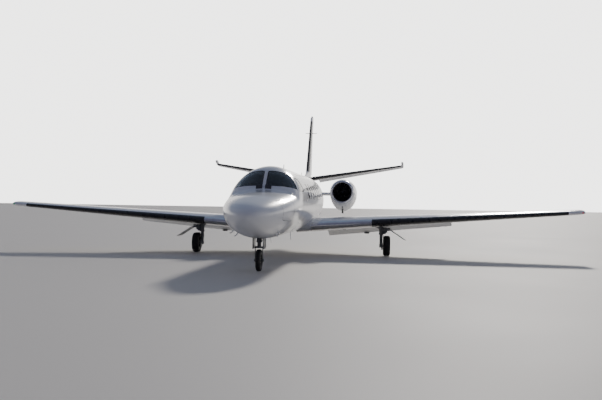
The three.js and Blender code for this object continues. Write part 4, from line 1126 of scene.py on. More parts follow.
def split_surface(whole, start, end, noses, rest_turn, horn=None):
    """Splits a wing or tail surface at a hinge into its fixed part and its moving part"""
    place = hinge_frame(start, end)
    length = (end - start).length
    clear = max(noses) + NOSE_ROOM
    room = cube((-RUN_GAP, -clear, -CUT_REACH), (length + RUN_GAP, CUT_REACH, CUT_REACH), OPENED)
    behind = cube((0, 0, -CUT_REACH), (length, CUT_REACH, CUT_REACH), OPENED)
    fixed = carved(whole, "DIFFERENCE", placed(room, place))
    rear = carved(whole, "INTERSECT", placed(behind, place))
    first, last = (radius * NOSE_SHARE for radius in noses)
    nose = Parts().rod((0, 0, 0), (length, 0, 0), first, last, 32).mesh()
    moving = carved(rear, "UNION", placed(nose, place))
    if horn:
        fixed = carved(fixed, "DIFFERENCE", cube((horn - RUN_GAP, *HORN_LOW), HORN_HIGH, OPENED))
        tip = carved(whole, "INTERSECT", cube((horn, *HORN_LOW), HORN_HIGH, OPENED))
        moving = carved(moving, "UNION", tip)
    return kept_largest(fixed), placed(moving, turn_about(start, end, -rest_turn))


def wing_chord(x):
    return WING["chord"] - WING["taper"] * x


def wing_lead(x):
    return WING["lead"] + WING["sweep"] * x


def wing_incidence(x):
    return WING_PLANE["incidence"] * (1 - span_part(x))


def span_part(x):
    return (x - WING["root"]) / (WING["tip"] - WING["root"])


def wing_section(x, share=1.0):
    chord = wing_chord(x)
    thickness = WING_PLANE["root"] + (WING_PLANE["tip"] - WING_PLANE["root"]) * span_part(x)
    thickness = tip_thickness(thickness, share)
    lead = wing_lead(x) + chord * (1 - share) * WING_TIP_BACK
    z = WING_PLANE["z"] + WING_PLANE["rise"] * x
    return aerofoil(x, lead, chord * share, z, thickness, WING_PLANE["camber"], wing_incidence(x))


def wing_chord_point(x, part):
    """A point on the wing's chord line, at a part of the chord"""
    chord = wing_chord(x)
    drop = (part - 0.25) * chord * math.sin(math.radians(wing_incidence(x)))
    bow = WING_PLANE["camber"] * 4 * part * (1 - part) * chord
    z = WING_PLANE["z"] + WING_PLANE["rise"] * x - drop + bow
    return Vector((x, wing_lead(x) + part * chord, z))


def wing_slot(centre):
    """Paint, rubber boot or polished metal, by the place on the wing; under the leading edge they reach
    further back than on the real wing, as painted shade
    """
    x = abs(centre.x)
    part = (centre.y - wing_lead(x)) / wing_chord(x)
    above = centre.z > wing_chord_point(x, max(part, 0)).z
    if part > (EDGE_ABOVE if above else EDGE_BELOW_WITH_SHADE):
        return 0
    if BOOT_SPAN[0] < x < BOOT_SPAN[1]:
        return DE_ICE
    return BARE if METAL_EDGE[0] < x < METAL_EDGE[-1] else 0


def hinge_ends(surface):
    """Both ends of a flap's or aileron's hinge, on the wing's chord line"""
    return [wing_chord_point(surface[key], surface["chord"]) for key in ("start", "end")]


def make_wings(core):
    whole = carved(spanned(wing_section, WING_RIBS, WING["tip"], WING_TIP, wing_slot), "DIFFERENCE", core)
    fixed, flap = split_surface(whole, *hinge_ends(FLAP), FLAP["noses"], FLAP["turn"])
    fixed, aileron = split_surface(fixed, *hinge_ends(AILERON), AILERON["noses"], AILERON["turn"])
    gear_room = well_cutter(MAIN_WELL["inner"], MAIN_WELL["outer"], MAIN_WELL, OPENED)
    fixed = carved(fixed, "DIFFERENCE", gear_room)
    pair("wing_skin", fixed, WING_FINISHES, replaces=["wing_"], sharp=40)
    pair("flap_skin", flap, [WING_PAINT], "flap_", replaces=["flap_"], sharp=40)
    pair("aileron_skin", aileron, [WING_PAINT], "aileron_", replaces=["aileron_"], sharp=40)


def wing_underside(x, y):
    """A point on the lower skin of the wing"""
    section = wing_section(x)
    lower = section[len(section) // 2:]
    before, after = next((a, b) for a, b in zip(lower, lower[1:]) if b.y > y)
    return before.lerp(after, (y - before.y) / (after.y - before.y))


def hinge_fairing(x):
    """A slim fairing over a flap hinge, hanging from the lower skin of the wing"""
    rear = wing_lead(x) + wing_chord(x) * FLAP["chord"] - FLAP["noses"][0] - 0.02
    front = rear - FAIRING["long"]
    rings = []
    for k in range(1, FAIRING["rings"]):
        t = k / FAIRING["rings"]
        y = front + (rear - front) * t
        swell = math.sin(math.pi * t) ** FAIRING["fullness"]
        half, deep = FAIRING["half"] * swell, FAIRING["deep"] * swell
        middle = wing_underside(x, y).z + FAIRING["sunk"]
        ring = [(x + half * math.cos(a), y, middle + deep * math.sin(a)) for a in turns(FAIRING["steps"])]
        rings.append([Vector(point) for point in ring])
    return mesh_of(loft(rings))


def make_wing_details():
    """Jacking points, the fairings over the flap hinges and the flap stops"""
    x, low, high = JACK_PAD["x"], JACK_PAD["low"], JACK_PAD["high"]
    foot = (x, wing_lead(x) + wing_chord(x) * JACK_PAD["part"], 0)
    pad = Parts().turned(from_axis((low, 0.02), (low + 0.004, 0.045), (high, 0.06)), foot, UP, 32)
    pair("jack_pads", pad.mesh(), [GEAR_PAINT_AND_SHADE], slot="gear_metal")
    pair("flap_hinge_fairings", merged([hinge_fairing(x) for x in FLAP_FAIRINGS]), [WING_PAINT])
    down = turn_about(*hinge_ends(FLAP), -FLAP["turn"])
    edge = down @ wing_chord_point(FLAP_STOP["x"], 1.0)
    low = edge - Vector((FLAP_STOP["half"], FLAP_STOP["long"], FLAP_STOP["deep"]))
    high = edge + Vector((FLAP_STOP["half"], -0.002, FLAP_STOP["high"]))
    stop = Parts().block(low, high, 0.012)
    pair("flap_stop", stop.mesh(), [GEAR_PAINT_AND_SHADE], "flap_", "gear_metal")


def edges_at(surface, t):
    """Leading edge and chord of a tapered surface, at a part of its span"""
    lead, trail = (a + (b - a) * t for a, b in (surface["lead"], surface["trail"]))
    return lead, trail - lead


def tail_section(x, share=1.0):
    lead, chord = edges_at(TAILPLANE, x / TAILPLANE["tip"])
    lead += chord * (1 - share) * TAIL_TIP_BACK
    return aerofoil(x, lead, chord * share, TAILPLANE["z"], tip_thickness(TAIL_THICKNESS, share))


def tail_slot(centre):
    lead, chord = edges_at(TAILPLANE, centre.x / TAILPLANE["tip"])
    # Boot black beyond the real boot is painted shade of the leading edge
    booted = centre.y < lead + TAIL_BOOT_WITH_SHADE["part"] * chord and centre.x < TAIL_BOOT_WITH_SHADE["end"]
    return DE_ICE if booted else 0


def make_tail():
    whole = spanned(tail_section, TAIL_RIBS, TAILPLANE["tip"], TAIL_TIP, tail_slot)
    hinge = [(ELEVATOR[key], ELEVATOR["hinge_y"], TAILPLANE["z"]) for key in ("start", "horn")]
    ends = [Vector(end) for end in hinge]
    fixed, moving = split_surface(whole, *ends, ELEVATOR["noses"], ELEVATOR["turn"], ELEVATOR["horn"])
    up = Matrix.Translation((0, 0, TAILPLANE["z"]))
    raised = up @ Matrix.Rotation(math.radians(-TAILPLANE["dihedral"]), 4, "Y") @ up.inverted()
    fixed = placed(fixed, raised)
    both = merged([fixed, placed(fixed, FLIP)])
    piece("tailplane_skin", both, TAIL_FINISHES, replaces=["tailplane"], sharp=40)
    elevator = placed(moving, raised)
    pair("elevator_skin", elevator, [SMALL_PAINT], "elevator_", replaces=["elevator_"], sharp=40)


def fin_edges(z):
    return edges_at(FIN, (z - FIN["low"]) / (FIN["high"] - FIN["low"]))


def fin_section(z, share=1.0):
    lead, chord = fin_edges(z)
    lead += chord * (1 - share) * FIN_TIP_BACK
    return aerofoil(0, lead, chord * share, z, TAIL_THICKNESS, upright=True)


def fin_slot(centre):
    lead, chord = fin_edges(centre.z)
    # Boot black beyond the real boot is painted shade of the fin's front
    booted = centre.y < lead + FIN_BOOT_WITH_SHADE["part"] * chord and FIN_BOOT_WITH_SHADE["low"] < centre.z < FIN_BOOT_WITH_SHADE["high"]
    return DE_ICE if booted else 0


def fin_fillet():
    """The low ridge that runs up into the fin"""
    low = FIN["low"]
    rings = []
    for y, half, top in FIN_FILLET:
        ring = [(half, y, low)]
        for k in range(1, FILLET_STEPS):
            angle = math.pi * k / FILLET_STEPS
            rise = (top - low) * math.sin(angle) ** FILLET_FULLNESS
            ring.append((half * math.cos(angle), y, low + rise))
        rings.append([Vector(p) for p in (*ring, (-half, y, low))])
    return mesh_of(loft(rings))


def make_fin(core):
    upper = spanned(fin_section, FIN_RIBS, FIN["top"], FIN_TIP, fin_slot)
    whole = carved(carved(upper, "UNION", fin_fillet()), "DIFFERENCE", core)
    ends = [Vector((0, *RUDDER[key])) for key in ("low", "high")]
    fixed, rudder = split_surface(whole, *ends, RUDDER["noses"], 0)
    piece("fin_skin", fixed, TAIL_FINISHES, replaces=["fin"], sharp=40)
    piece("rudder_skin", kept_largest(rudder), [SMALL_PAINT], "rudder", replaces=["rudder"], sharp=40)


def make_tail_details():
    """Aerial bars across the fin and the red beacon on its top"""
    y, z, reach = (AERIAL_BARS[key] for key in ("y", "z", "reach"))
    bars = Parts()
    for _, sign in SIDES:
        bars.rod((0, y, z), (sign * reach, y, z), 0.013, 0.009, 12)
    piece("fin_aerial_bars", bars.mesh(), [BLACK_PLASTIC], slot="panel_plastic")
    beacon = Parts().turned(BEACON_BASE, (0, BEACON_Y, 0), UP, 24)
    beacon.use(1).turned(BEACON_DOME, (0, BEACON_Y, 0), UP, 24)
    piece("beacon", beacon.mesh(), [STEEL, RED_LENS], slot="gear_metal")


# Engines

def cowl_rings():
    """Forward along the cowl from its rear edge, round the lip and back through the duct"""
    x, z = ENGINE["x"], ENGINE["z"]
    nacelle = Skin(NACELLE, x)
    length = ENGINE["end"] - ENGINE["lip"]
    places = [ENGINE["lip"] + length * (k / COWL_RINGS) ** 2 for k in range(COWL_RINGS + 1)]
    rings = [nacelle.ring(y, steps=COWL_STEPS) for y in reversed(places)]
    for y, radius in DUCT:
        ring = [(x + radius * math.cos(a), y, z + radius * math.sin(a)) for a in turns(COWL_STEPS)]
        rings.append([Vector(point) for point in ring])
    return closed(rings)


def cowl_slot(centre):
    """Polished lip, grey duct, and burnt metal at the exhaust"""
    zones = COWL_ZONES
    out = math.hypot(centre.x - ENGINE["x"], centre.z - ENGINE["z"])
    front, rear = zones["room"]
    in_room = front < centre.y < rear and out < zones["room_radius"]
    if centre.y < zones["lip"]:
        return 1
    if out < zones["duct"] or in_room:
        return 2 if centre.y < zones["hot"] else 3
    return 3 if centre.y > zones["burnt"] else 0


def pylon_mesh(core):
    rings = []
    for k in range(PYLON["rings"]):
        t = k / (PYLON["rings"] - 1)
        x, lead, trail = (a + (b - a) * t for a, b in zip(PYLON["inner"], PYLON["outer"]))
        chord = trail - lead
        rings.append(aerofoil(x, lead, chord, PYLON["z"], 2 * PYLON["half"] / chord))
    walls = from_axis(*((ENGINE_ROOM[end], ENGINE_ROOM["radius"]) for end in ("front", "rear")))
    room = Parts().turned(walls, (ENGINE["x"], 0, ENGINE["z"]), ALONG).mesh()
    return carved(mesh_of(loft(rings)), "DIFFERENCE", core, room)


def drain_mesh():
    x = ENGINE["x"]
    start, end = ((x, *place) for place in DRAIN_MAST)
    parts = Parts().rod(start, end, 0.022, 0.018, 16).slab(x, 0.028, *DRAIN_VANE, 0.01)
    start, end = ((x, *place) for place in DRAIN_PIPE)
    return parts.rod(start, end, 0.014, segments=16).mesh()


def make_engines(core):
    cowl = mesh_of(loft(cowl_rings(), capped=False), slot_at=cowl_slot)
    finishes = [SMALL_PAINT, POLISHED, GREY_PLASTIC, BURNT]
    pair("cowl", cowl, finishes, slot="composite_paint", replaces=["nacelle_"], sharp=50)
    pair("pylon_skin", pylon_mesh(core), [SMALL_PAINT], slot="composite_paint", sharp=50)
    pair("drain_mast", drain_mesh(), [BLACK_PLASTIC], slot="panel_plastic")
    pair("fan_rotor", fan_mesh(), [TITANIUM, DARK_METAL, STEEL], "fan_", "gear_metal", ["fan_"])


def fan_mesh():
    """A spinner and twisted blades"""
    centre = (ENGINE["x"], ENGINE["fan"], ENGINE["z"])
    parts = Parts().use(2).turned(SPINNER, centre, ALONG)
    bm = parts.bm
    for angle in turns(FAN["blades"]):
        leaf = bmesh.ops.create_grid(bm, x_segments=3, y_segments=6, size=0.5)["verts"]
        for vert in leaf:
            out = vert.co.y + 0.5
            width, lean = (a + (b - a) * out for a, b in (BLADE_CHORD, BLADE_LEAN))
            lean = math.radians(lean)
            chord = width * vert.co.x
            bow = FAN["bow"] * (1 - 4 * vert.co.x**2)
            across = chord * math.sin(lean) + bow * math.cos(lean)
            along = chord * math.cos(lean) - bow * math.sin(lean)
            vert.co = (across, along + FAN["back"], FAN["root"] + (FAN["tip"] - FAN["root"]) * out)
        spin = Matrix.Translation(centre) @ Matrix.Rotation(angle, 4, "Y")
        bmesh.ops.transform(bm, matrix=spin, verts=leaf)
        faces = unique(face for vert in leaf for face in vert.link_faces)
        bmesh.ops.solidify(bm, geom=faces, thickness=FAN["thick"])
    return parts.use(0).mark().mesh()


# Landing gear

def both_sides(side, middle=()):
    """A closed profile from one side's half, what lies between, and the other side's half"""
    return closed([(-a, r) for a, r in side] + [*middle] + [(a, r) for a, r in reversed(side)])


def wheel_mesh(size, bolts):
    """A grooved tyre on a two-part rim, on the X direction"""
    x, y, radius, half = (size[key] for key in ("x", "y", "radius", "half"))
    hub = radius * HUB_PART
    centre = (x, y, radius)
    side = [(half * a, hub * r) for a, r in TYRE_BEAD] + [(half * a, radius * r) for a, r in TYRE_WALL]
    crown = (half * 0.7, radius * 0.972)
    tread = [(-crown[0], crown[1])]
    for groove in GROOVES:
        g, w = half * groove, half * 0.045
        top = radius * (1 - 0.012 * abs(groove))
        foot = top - 0.005
        tread += [(g - w, top), (g - w * 0.6, foot), (g + w * 0.6, foot), (g + w, top)]
    parts = Parts().turned(both_sides(side, [*tread, crown]), centre, ACROSS, 56)
    rim = [(half * a, hub * r) for a, r in RIM] + [(half * 0.52, size["bore"])]
    parts.use(1).turned(both_sides(rim), centre, ACROSS, 48)
    parts.use(2)
    for angle in turns(bolts):
        up, back = hub * 0.62 * math.cos(angle), hub * 0.62 * math.sin(angle)
        for _, sign in SIDES:
            start, end = ((x + sign * half * part, y + back, radius + up) for part in (0.26, 0.46))
            parts.rod(start, end, 0.008, segments=6)
    return parts.mesh()


def make_wheels():
    finishes = [TYRE, GEAR_PAINT_AND_SHADE, STEEL]
    nose, main = wheel_mesh(NOSE_WHEEL, 8), wheel_mesh(MAIN_WHEEL, 10)
    piece("nose_wheel_tyre", nose, finishes, "nose_wheel", "tyre_rubber", ["nose_wheel"])
    pair("main_wheel_tyre", main, finishes, "main_wheel_", "tyre_rubber", ["main_wheel_"])


def make_nose_leg():
    """The strut in its barrel, with its brace, taxi lamp and line"""
    y, top = NOSE_WHEEL["y"], NOSE_WELL["top"]
    leg = Parts().turned(closed(NOSE_BARREL), (0, y, 0), UP)
    leg.slab(0, 0.096, (y - 0.04, top - 0.05), (y + 0.04, top), 0.006)
    leg.rod((0, y + 0.05, 0.82), (0, y + 0.26, 0.93), 0.022, segments=16)
    leg.use(1)
    for inner, outer in ((-0.075, -0.055), (0.055, 0.075)):
        leg.rod((inner, y, 0.7), (outer, y, 0.7), 0.02, segments=16)
    leg.use(2).hose([(x, y + back, z) for x, back, z in NOSE_LINE], 0.005)
    lamp = [(-0.03, 0.0), (-0.03, 0.03), (-0.012, 0.042), (0.012, 0.045), (0.014, 0.0)]
    leg.use(3).turned(lamp, (0, y - 0.085, 0.79), (0, -1, 0), 28)
    leg.use(0).slab(0, 0.012, (y - 0.075, 0.78), (y - 0.05, 0.8), 0.003)
    finishes = [GEAR_PAINT_AND_SHADE, STEEL, BLACK_PLASTIC, LAMP]
    piece("nose_leg_strut", leg.mesh(), finishes, slot="gear_metal", replaces=["nose_leg"])


def make_nose_fork():
    """The chromed piston with the fork and the axle that steer"""
    y, radius = NOSE_WHEEL["y"], NOSE_WHEEL["radius"]
    arm, thick = NOSE_WHEEL["half"] + 0.016, 0.016
    piston = [(0.515, 0.0), (0.515, 0.04), (0.74, 0.04), (0.745, 0.0)]
    fork = Parts().use(1).turned(piston, (0, y, 0), UP)
    fork.use(0).slab(0, arm + thick, (y - 0.045, 0.478), (y + 0.045, 0.52), 0.01)
    for _, sign in SIDES:
        low, high = sorted((sign * arm, sign * (arm + thick)))
        fork.block((low, y - 0.03, radius + 0.02), (high, y + 0.03, 0.5), 0.005)
        fork.turned(from_axis((low - 0.001, 0.042), (high + 0.003, 0.042)), (0, y, radius), ACROSS, 28)
    fork.use(2).rod((-arm - 0.026, y, radius), (arm + 0.026, y, radius), 0.0185, segments=20)
    for start, end in ((-arm - 0.03, -arm - 0.018), (arm + 0.018, arm + 0.03)):
        fork.rod((start, y, radius), (end, y, radius), 0.026, segments=6)
    fork.use(0).slab(0, 0.022, (y + 0.04, 0.5), (y + 0.12, 0.524))
    fork.slab(0, 0.016, (y + 0.098, 0.5), (y + 0.12, 0.59))
    finishes = [GEAR_PAINT_AND_SHADE, CHROME, STEEL]
    piece("nose_fork_casting", fork.mesh(), finishes, "nose_fork", "gear_metal", ["nose_fork"])


def make_main_gear():
    """The legs with their pistons, axles, brakes, side braces, torque links and brake lines"""
    x, y, radius, half = (MAIN_WHEEL[key] for key in ("x", "y", "radius", "half"))
    leg_x, top = x - half - 0.055, MAIN_WELL["top"]
    foot, axle = (leg_x, y, 0), (0, y, radius)
    parts = Parts().turned(from_axis(*MAIN_BARREL, (top, 0.064)), foot, UP)
    parts.use(1).turned(from_axis((0.33, 0.0425), (0.6, 0.0425)), foot, UP)
    parts.use(0).turned(AXLE_BOSS, foot, UP, 32)
    parts.use(2).rod((leg_x - 0.012, y, radius), (x + half * 0.5 + 0.018, y, radius), 0.0322, segments=24)
    parts.turned(from_axis((leg_x + 0.052, 0.05), (x - half * 0.5 - 0.007, 0.052)), axle, ACROSS, 32)
    stack = from_axis((leg_x + 0.005, 0.1), (leg_x + 0.018, 0.108), (x - half - 0.007, 0.108))
    parts.use(4).turned(stack, (0, y, radius - 0.01), ACROSS, 36)
    parts.block((leg_x - 0.055, y - 0.05, 0.64), (x + 0.02, y + 0.05, 0.79), 0.02)
    parts.block((leg_x + 0.05, y - 0.03, 0.605), (x - 0.02, y + 0.03, 0.645), 0.012)
    parts.use(5).block((x + 0.02, y - 0.04, 0.742), (x + 0.1, y + 0.03, 0.785), 0.008)
    parts.use(0).rod((leg_x + 0.005, y, 0.76), (leg_x - 0.42, y, top - 0.03), 0.026, segments=20)
    door_x, door_z = MAIN_DOOR["x"] - SEAT_GAP, MAIN_DOOR["z"]
    parts.block((leg_x - 0.03, y - 0.04, door_z - 0.02), (door_x, y + 0.04, door_z + 0.02), 0.006)
    for foot_y, foot_z in ((0.05, 0.34), (0.062, 0.61)):
        for _, sign in SIDES:
            start, knee = (leg_x + sign * 0.022, y + foot_y, foot_z), (leg_x + sign * 0.012, y + 0.15, 0.47)
            parts.rod(start, knee, 0.01, segments=12)
    parts.use(2).rod((leg_x - 0.03, y + 0.15, 0.47), (leg_x + 0.03, y + 0.15, 0.47), 0.013, segments=12)
    parts.use(3).hose([(leg_x + out, y + back, z) for out, back, z in BRAKE_LINE], 0.006)
    finishes = [GEAR_PAINT_AND_SHADE, CHROME, STEEL, BLACK_PLASTIC, DARK_METAL, SMALL_PAINT]
    pair("main_leg_strut", parts.mesh(), finishes, slot="gear_metal", replaces=["main_leg_"])


def make_main_doors():
    """The slanting doors outside the main legs, each with ribs and a bracket on the leg"""
    x, z, width, front, rear = (MAIN_DOOR[key] for key in ("x", "z", "width", "front", "rear"))
    tilt = Matrix.Rotation(math.radians(MAIN_DOOR["slant"]), 4, "Y")
    lean = Matrix.Translation((x + 0.004, 0, z)) @ tilt
    parts = Parts().block((0, front, -0.007), (width, rear, 0.007), 0.004, lean)
    parts.use(1)
    for k in range(DOOR_RIBS["count"]):
        rib = front + DOOR_RIBS["first"] + DOOR_RIBS["pitch"] * k
        parts.block((0.03, rib, -0.0165), (width - 0.05, rib + DOOR_RIBS["width"], -0.006), 0.003, lean)
    leg_y = MAIN_WHEEL["y"]
    parts.use(2).block((x, leg_y - 0.04, z - 0.02), (x + 0.03, leg_y + 0.04, z + 0.02))
    pair("main_gear_flap_door", parts.mesh(), [SMALL_PAINT, GEAR_PAINT_AND_SHADE, STEEL], replaces=["main_gear_door_"])


def make_nose_doors():
    """The upright doors beside the nose leg, each with two hinge brackets"""
    front, rear, low, thick = (NOSE_GEAR_DOOR[key] for key in ("front", "rear", "low", "thick"))
    inner = NOSE_WELL["half"] + 0.001
    outer = inner + thick
    skin = fuselage.point(NOSE_WHEEL["y"], -82).z
    plate = Parts().block((inner, front, low), (outer, rear, skin + 0.01))
    plate.use(1)
    for y in (front + 0.05, rear - 0.07):
        plate.block((outer - 0.001, y, low + 0.03), (outer + 0.008, y + 0.02, skin), 0.002)
    pair("nose_gear_side_door", plate.mesh(), [SMALL_PAINT, GEAR_PAINT_AND_SHADE], replaces=["nose_gear_door_"])


# Cabin inside

def baked(obj):
    """The mesh of an object with its modifiers applied"""
    depsgraph = bpy.context.evaluated_depsgraph_get()
    return bpy.data.meshes.new_from_object(obj.evaluated_get(depsgraph))


def seat_pad(size, middle, matrix):
    """A stuffed pad: a rounded block blown up like a cushion and held inside its size"""
    bm = bmesh.new()
    bmesh.ops.create_cube(bm, size=1)
    bmesh.ops.scale(bm, vec=Vector(size) - Vector((PAD_SWELL,) * 3), verts=bm.verts)
    bmesh.ops.subdivide_edges(bm, edges=bm.edges, cuts=PAD_CUTS, use_grid_fill=True)
    mesh = bpy.data.meshes.new("pad")
    bm.to_mesh(mesh)
    bm.free()
    pad = bpy.data.objects.new("pad", mesh)
    bpy.context.scene.collection.objects.link(pad)
    blow_up(pad)
    result = baked(pad)
    bpy.data.objects.remove(pad)
    limit = Vector(size) / 2
    for vert in result.vertices:
        vert.co = [min(max(a, -b), b) for a, b in zip(vert.co, limit)]
    result.transform(Matrix.Translation(middle))
    result.transform(matrix)
    return result


def blow_up(pad):
    """Cloth under pressure, its movement capped"""
    remesh = pad.modifiers.new("even", "REMESH")
    remesh.mode = "VOXEL"
    remesh.voxel_size = PAD_VOXEL
    pad.data = baked(pad)
    pad.modifiers.clear()
    before = [vert.co.copy() for vert in pad.data.vertices]
    cloth = pad.modifiers.new("stuffing", "CLOTH")
    cloth.settings.use_pressure = True
    cloth.settings.uniform_pressure_force = PAD_PRESSURE
    cloth.settings.effector_weights.gravity = 0.0
    cloth.settings.quality = 5
    cloth.point_cache.frame_start = 1
    cloth.point_cache.frame_end = PAD_FRAMES
    for number in range(1, PAD_FRAMES + 1):
        bpy.context.scene.frame_set(number)
    blown = baked(pad)
    pad.modifiers.clear()
    for vert, start in zip(blown.vertices, before):
        step = vert.co - start
        vert.co = start + step * min(1, PAD_SWELL / max(step.length, 1e-9))
    pad.data = blown
    bpy.context.scene.frame_set(1)
    pad.modifiers.new("even", "SUBSURF").levels = 1


def make_seats():
    """Two rows of seats: pads over a frame, on rails"""
    x, half, low, high, depth = (SEAT[key] for key in ("x", "half", "low", "high", "depth"))
    wide, foot = 2 * half - PAD_INSET, low + PAD_SUNK
    middle = (x, depth / 2, (foot + high) / 2)
    cushion = seat_pad((wide, depth - PAD_INSET, high - low - PAD_SUNK), middle, Matrix.Identity(4))
    tall = SEAT["back_high"] - high + PAD_SUNK
    tilt = Matrix.Rotation(math.radians(BACK_LEAN), 4, "X")
    lean = Matrix.Translation((0, depth - PAD_SUNK, high - PAD_SUNK)) @ tilt
    upright = tall - 0.16
    back = seat_pad((wide, 0.1, upright), (x, -0.012, upright / 2 + 0.02), lean)
    head = seat_pad((0.26, 0.09, 0.15), (x, -0.014, tall - 0.055), lean)
    frames = Parts()
    for y in SEAT_Y:
        seat_frame(frames, y, lean)
    frames.use(1)
    for offset in (-0.07, 0.07):
        start, end = (SEAT_RAILS[0], FLOOR_TOP + 0.001), (SEAT_RAILS[1], FLOOR_TOP + 0.02)
        frames.slab(x + offset, 0.015, start, end, 0.003)
    finishes = [GREY_PLASTIC, STEEL, WEBBING]
    pair("seat_frames", frames.mesh(), finishes, slot="panel_plastic", replaces=["seats_"])
    for name, pad in (("seat_cushions", cushion), ("seat_backs", back), ("head_rests", head)):
        rows = merged([placed(pad, Matrix.Translation((0, y, 0))) for y in SEAT_Y])
        for side, sign in SIDES:
            own = rows if sign > 0 else placed(rows, FLIP)
            node = f"seats_{side}"
            obj = piece(f"{name}_{side}", own, [LEATHER], slot="seat_leather", replaces=[node], sharp=80)


def seat_frame(parts, y, lean):
    """Pedestal, pan, back shell, arm rests and belts of one seat"""
    x, half, low, high, depth = (SEAT[key] for key in ("x", "half", "low", "high", "depth"))
    rear = y + depth
    parts.use(0).slab(x, 0.12, (y + 0.08, FLOOR_TOP + 0.018), (rear - 0.08, low + 0.006), 0.015)
    parts.slab(x, half - 0.004, (y + 0.01, low), (rear - 0.01, low + 0.032), 0.01)
    shell_top = SEAT["back_high"] - high - 0.02
    parts.slab(x, half - 0.01, (0.035, 0.0), (0.052, shell_top), 0.008, Matrix.Translation((0, y, 0)) @ lean)
    for _, sign in SIDES:
        arm = x + sign * (half - 0.002)
        parts.slab(arm, 0.02, (y + 0.1, high + 0.1), (rear - 0.02, high + 0.13), 0.012)
        parts.slab(arm, 0.008, (rear - 0.12, low + 0.02), (rear - 0.08, high + 0.11))
    parts.use(2)
    for _, sign in SIDES:
        parts.slab(x + sign * 0.13, 0.02, (y + 0.16, high - 0.004), (rear - 0.06, high + 0.003), 0.001)
    parts.use(1).slab(x, 0.03, (y + 0.18, high - 0.002), (y + 0.235, high + 0.012))


def make_cockpit():
    """Screens, knobs, pedestal keys and thrust levers on the CAD board"""
    parts = Parts()
    for x in (-0.43, 0.0, 0.43):
        parts.use(0).slab(x, 0.14, (-4.982, 1.36), (-4.972, 1.6))
        parts.use(1).slab(x, 0.125, (-4.974, 1.375), (-4.9705, 1.585), 0.001)
    parts.use(2)
    for z in (1.3, 1.33):
        for k in range(9):
            x = -0.52 + 0.13 * k
            parts.rod((x, -4.985, z), (x, -4.962, z), 0.008, 0.007, 16)
    for k in range(4):
        y = -4.9 + 0.1 * k
        parts.slab(0, 0.1, (y, 1.285), (y + 0.07, 1.296), 0.003)
    for _, sign in SIDES:
        x = sign * 0.04
        parts.rod((x, -4.93, 1.29), (x, -4.9, 1.4), 0.008, segments=12)
        parts.slab(x, 0.02, (-4.915, 1.395), (-4.885, 1.425), 0.008)
    piece("flight_displays", parts.mesh(), [BLACK_PLASTIC, SCREEN, GREY_PLASTIC], slot="panel_plastic")


def dress_cad_nodes():
    """Finishes for the CAD nodes that stay in sight"""
    for node, finish in (
        ("cabin_floor", CARPET), ("instrument_panel", BLACK_PLASTIC),
        ("engine_core_left", DARK_METAL), ("engine_core_right", DARK_METAL),
    ):
        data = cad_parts[node].data
        data.materials.clear()
        data.materials.append(finish)


# Small outside pieces

def make_air_tubes():
    """Four small tubes that stand off the nose and point ahead"""
    parts = Parts()
    for _, sign in SIDES:
        for y, degrees in ((-6.25, -48), (-6.05, -56)):
            foot, knee = fuselage.point(y, degrees, 0.012), fuselage.point(y - 0.01, degrees, -0.07)
            foot.x, knee.x = sign * foot.x, sign * knee.x
            parts.use(0).rod(foot, knee, 0.013, 0.009, 16)
            start, end = knee + Vector((0, 0.014, 0)), knee - Vector((0, 0.13, 0))
            parts.use(1).rod(start, end, 0.0105, 0.0075, 16)
    piece("air_data_tubes", parts.mesh(), [SMALL_PAINT, STEEL], slot="gear_metal")


def blade(x, y, foot, tip, chord):
    """A thin swept aerial with a rounded section"""
    rings = []
    lean = abs(tip - foot) * 0.45
    for t, share in ((0, 1.0), (0.35, 0.86), (0.7, 0.72), (0.9, 0.64), (1.0, 0.48)):
        ring = aerofoil(x, y + lean * t, chord * share, foot + (tip - foot) * t, 0.13, upright=True, steps=8)
        rings.append([point + Vector((x, 0, 0)) for point in ring])
    return mesh_of(loft(rings))


def make_aerials():
    """Two blades under the belly and two on the crown: place, foot, tip and chord"""
    places = (
        (0, -3.93, 0.7, 0.505, 0.13), (0.26, -2.17, 0.7, 0.505, 0.15),
        (0, -1.65, 2.25, 2.42, 0.19), (0, 3.15, 2.235, 2.4, 0.17),
    )
    piece("aerial_blades", merged([blade(*place) for place in places]), [SMALL_PAINT], sharp=60)


def make_door_handle():
    """A flush handle that rides on the passenger door"""
    skin = fuselage.side(*HANDLE_PLACE)
    (low, high), (grip_low, grip_high) = HANDLE_PLATE, HANDLE_GRIP
    handle = Parts().block((skin - 0.004, *low), (skin + 0.006, *high), 0.003)
    handle.use(1).block((skin - 0.002, *grip_low), (skin + 0.0085, *grip_high), 0.003)
    piece("door_handle", handle.mesh(), [GREY_PLASTIC, CHROME], "cabin_door", "gear_metal")


def make_wicks():
    """Static wicks on the trailing edges"""
    parts = Parts()
    for x in WICKS:
        tail = wing_chord_point(x, 1.0)
        parts.rod(tail - Vector((0, 0.01, 0)), tail + Vector((0, 0.09, -0.004)), 0.003, 0.002, 8)
    pair("aileron_wicks", parts.mesh(), [BLACK_PLASTIC], "aileron_", "panel_plastic")


def make_wing_lights():
    """Navigation and landing lamps at the wing tips"""
    tip = WING["tip"] - 0.1
    nose = min(wing_section(tip, 0.95), key=lambda point: point.y)
    lens = [(-0.02, 0.0), (-0.018, 0.012), (0.0, 0.022), (0.05, 0.026), (0.1, 0.02), (0.12, 0.0)]
    landing = [(-0.012, 0.0), (-0.008, 0.02), (0.02, 0.028), (0.06, 0.028), (0.08, 0.0)]
    for side, sign in SIDES:
        parts = Parts().turned(lens, (sign * tip, nose.y + 0.004, nose.z), ALONG, 20)
        place = (sign * (tip - 0.16), nose.y + 0.002, nose.z - 0.01)
        parts.use(1).turned(landing, place, ALONG, 20)
        finishes = [RED_LENS if side == "left" else GREEN_LENS, LAMP]
        piece(f"tip_lamps_{side}", parts.mesh(), finishes, slot="cabin_glass")


# Stage, light and camera

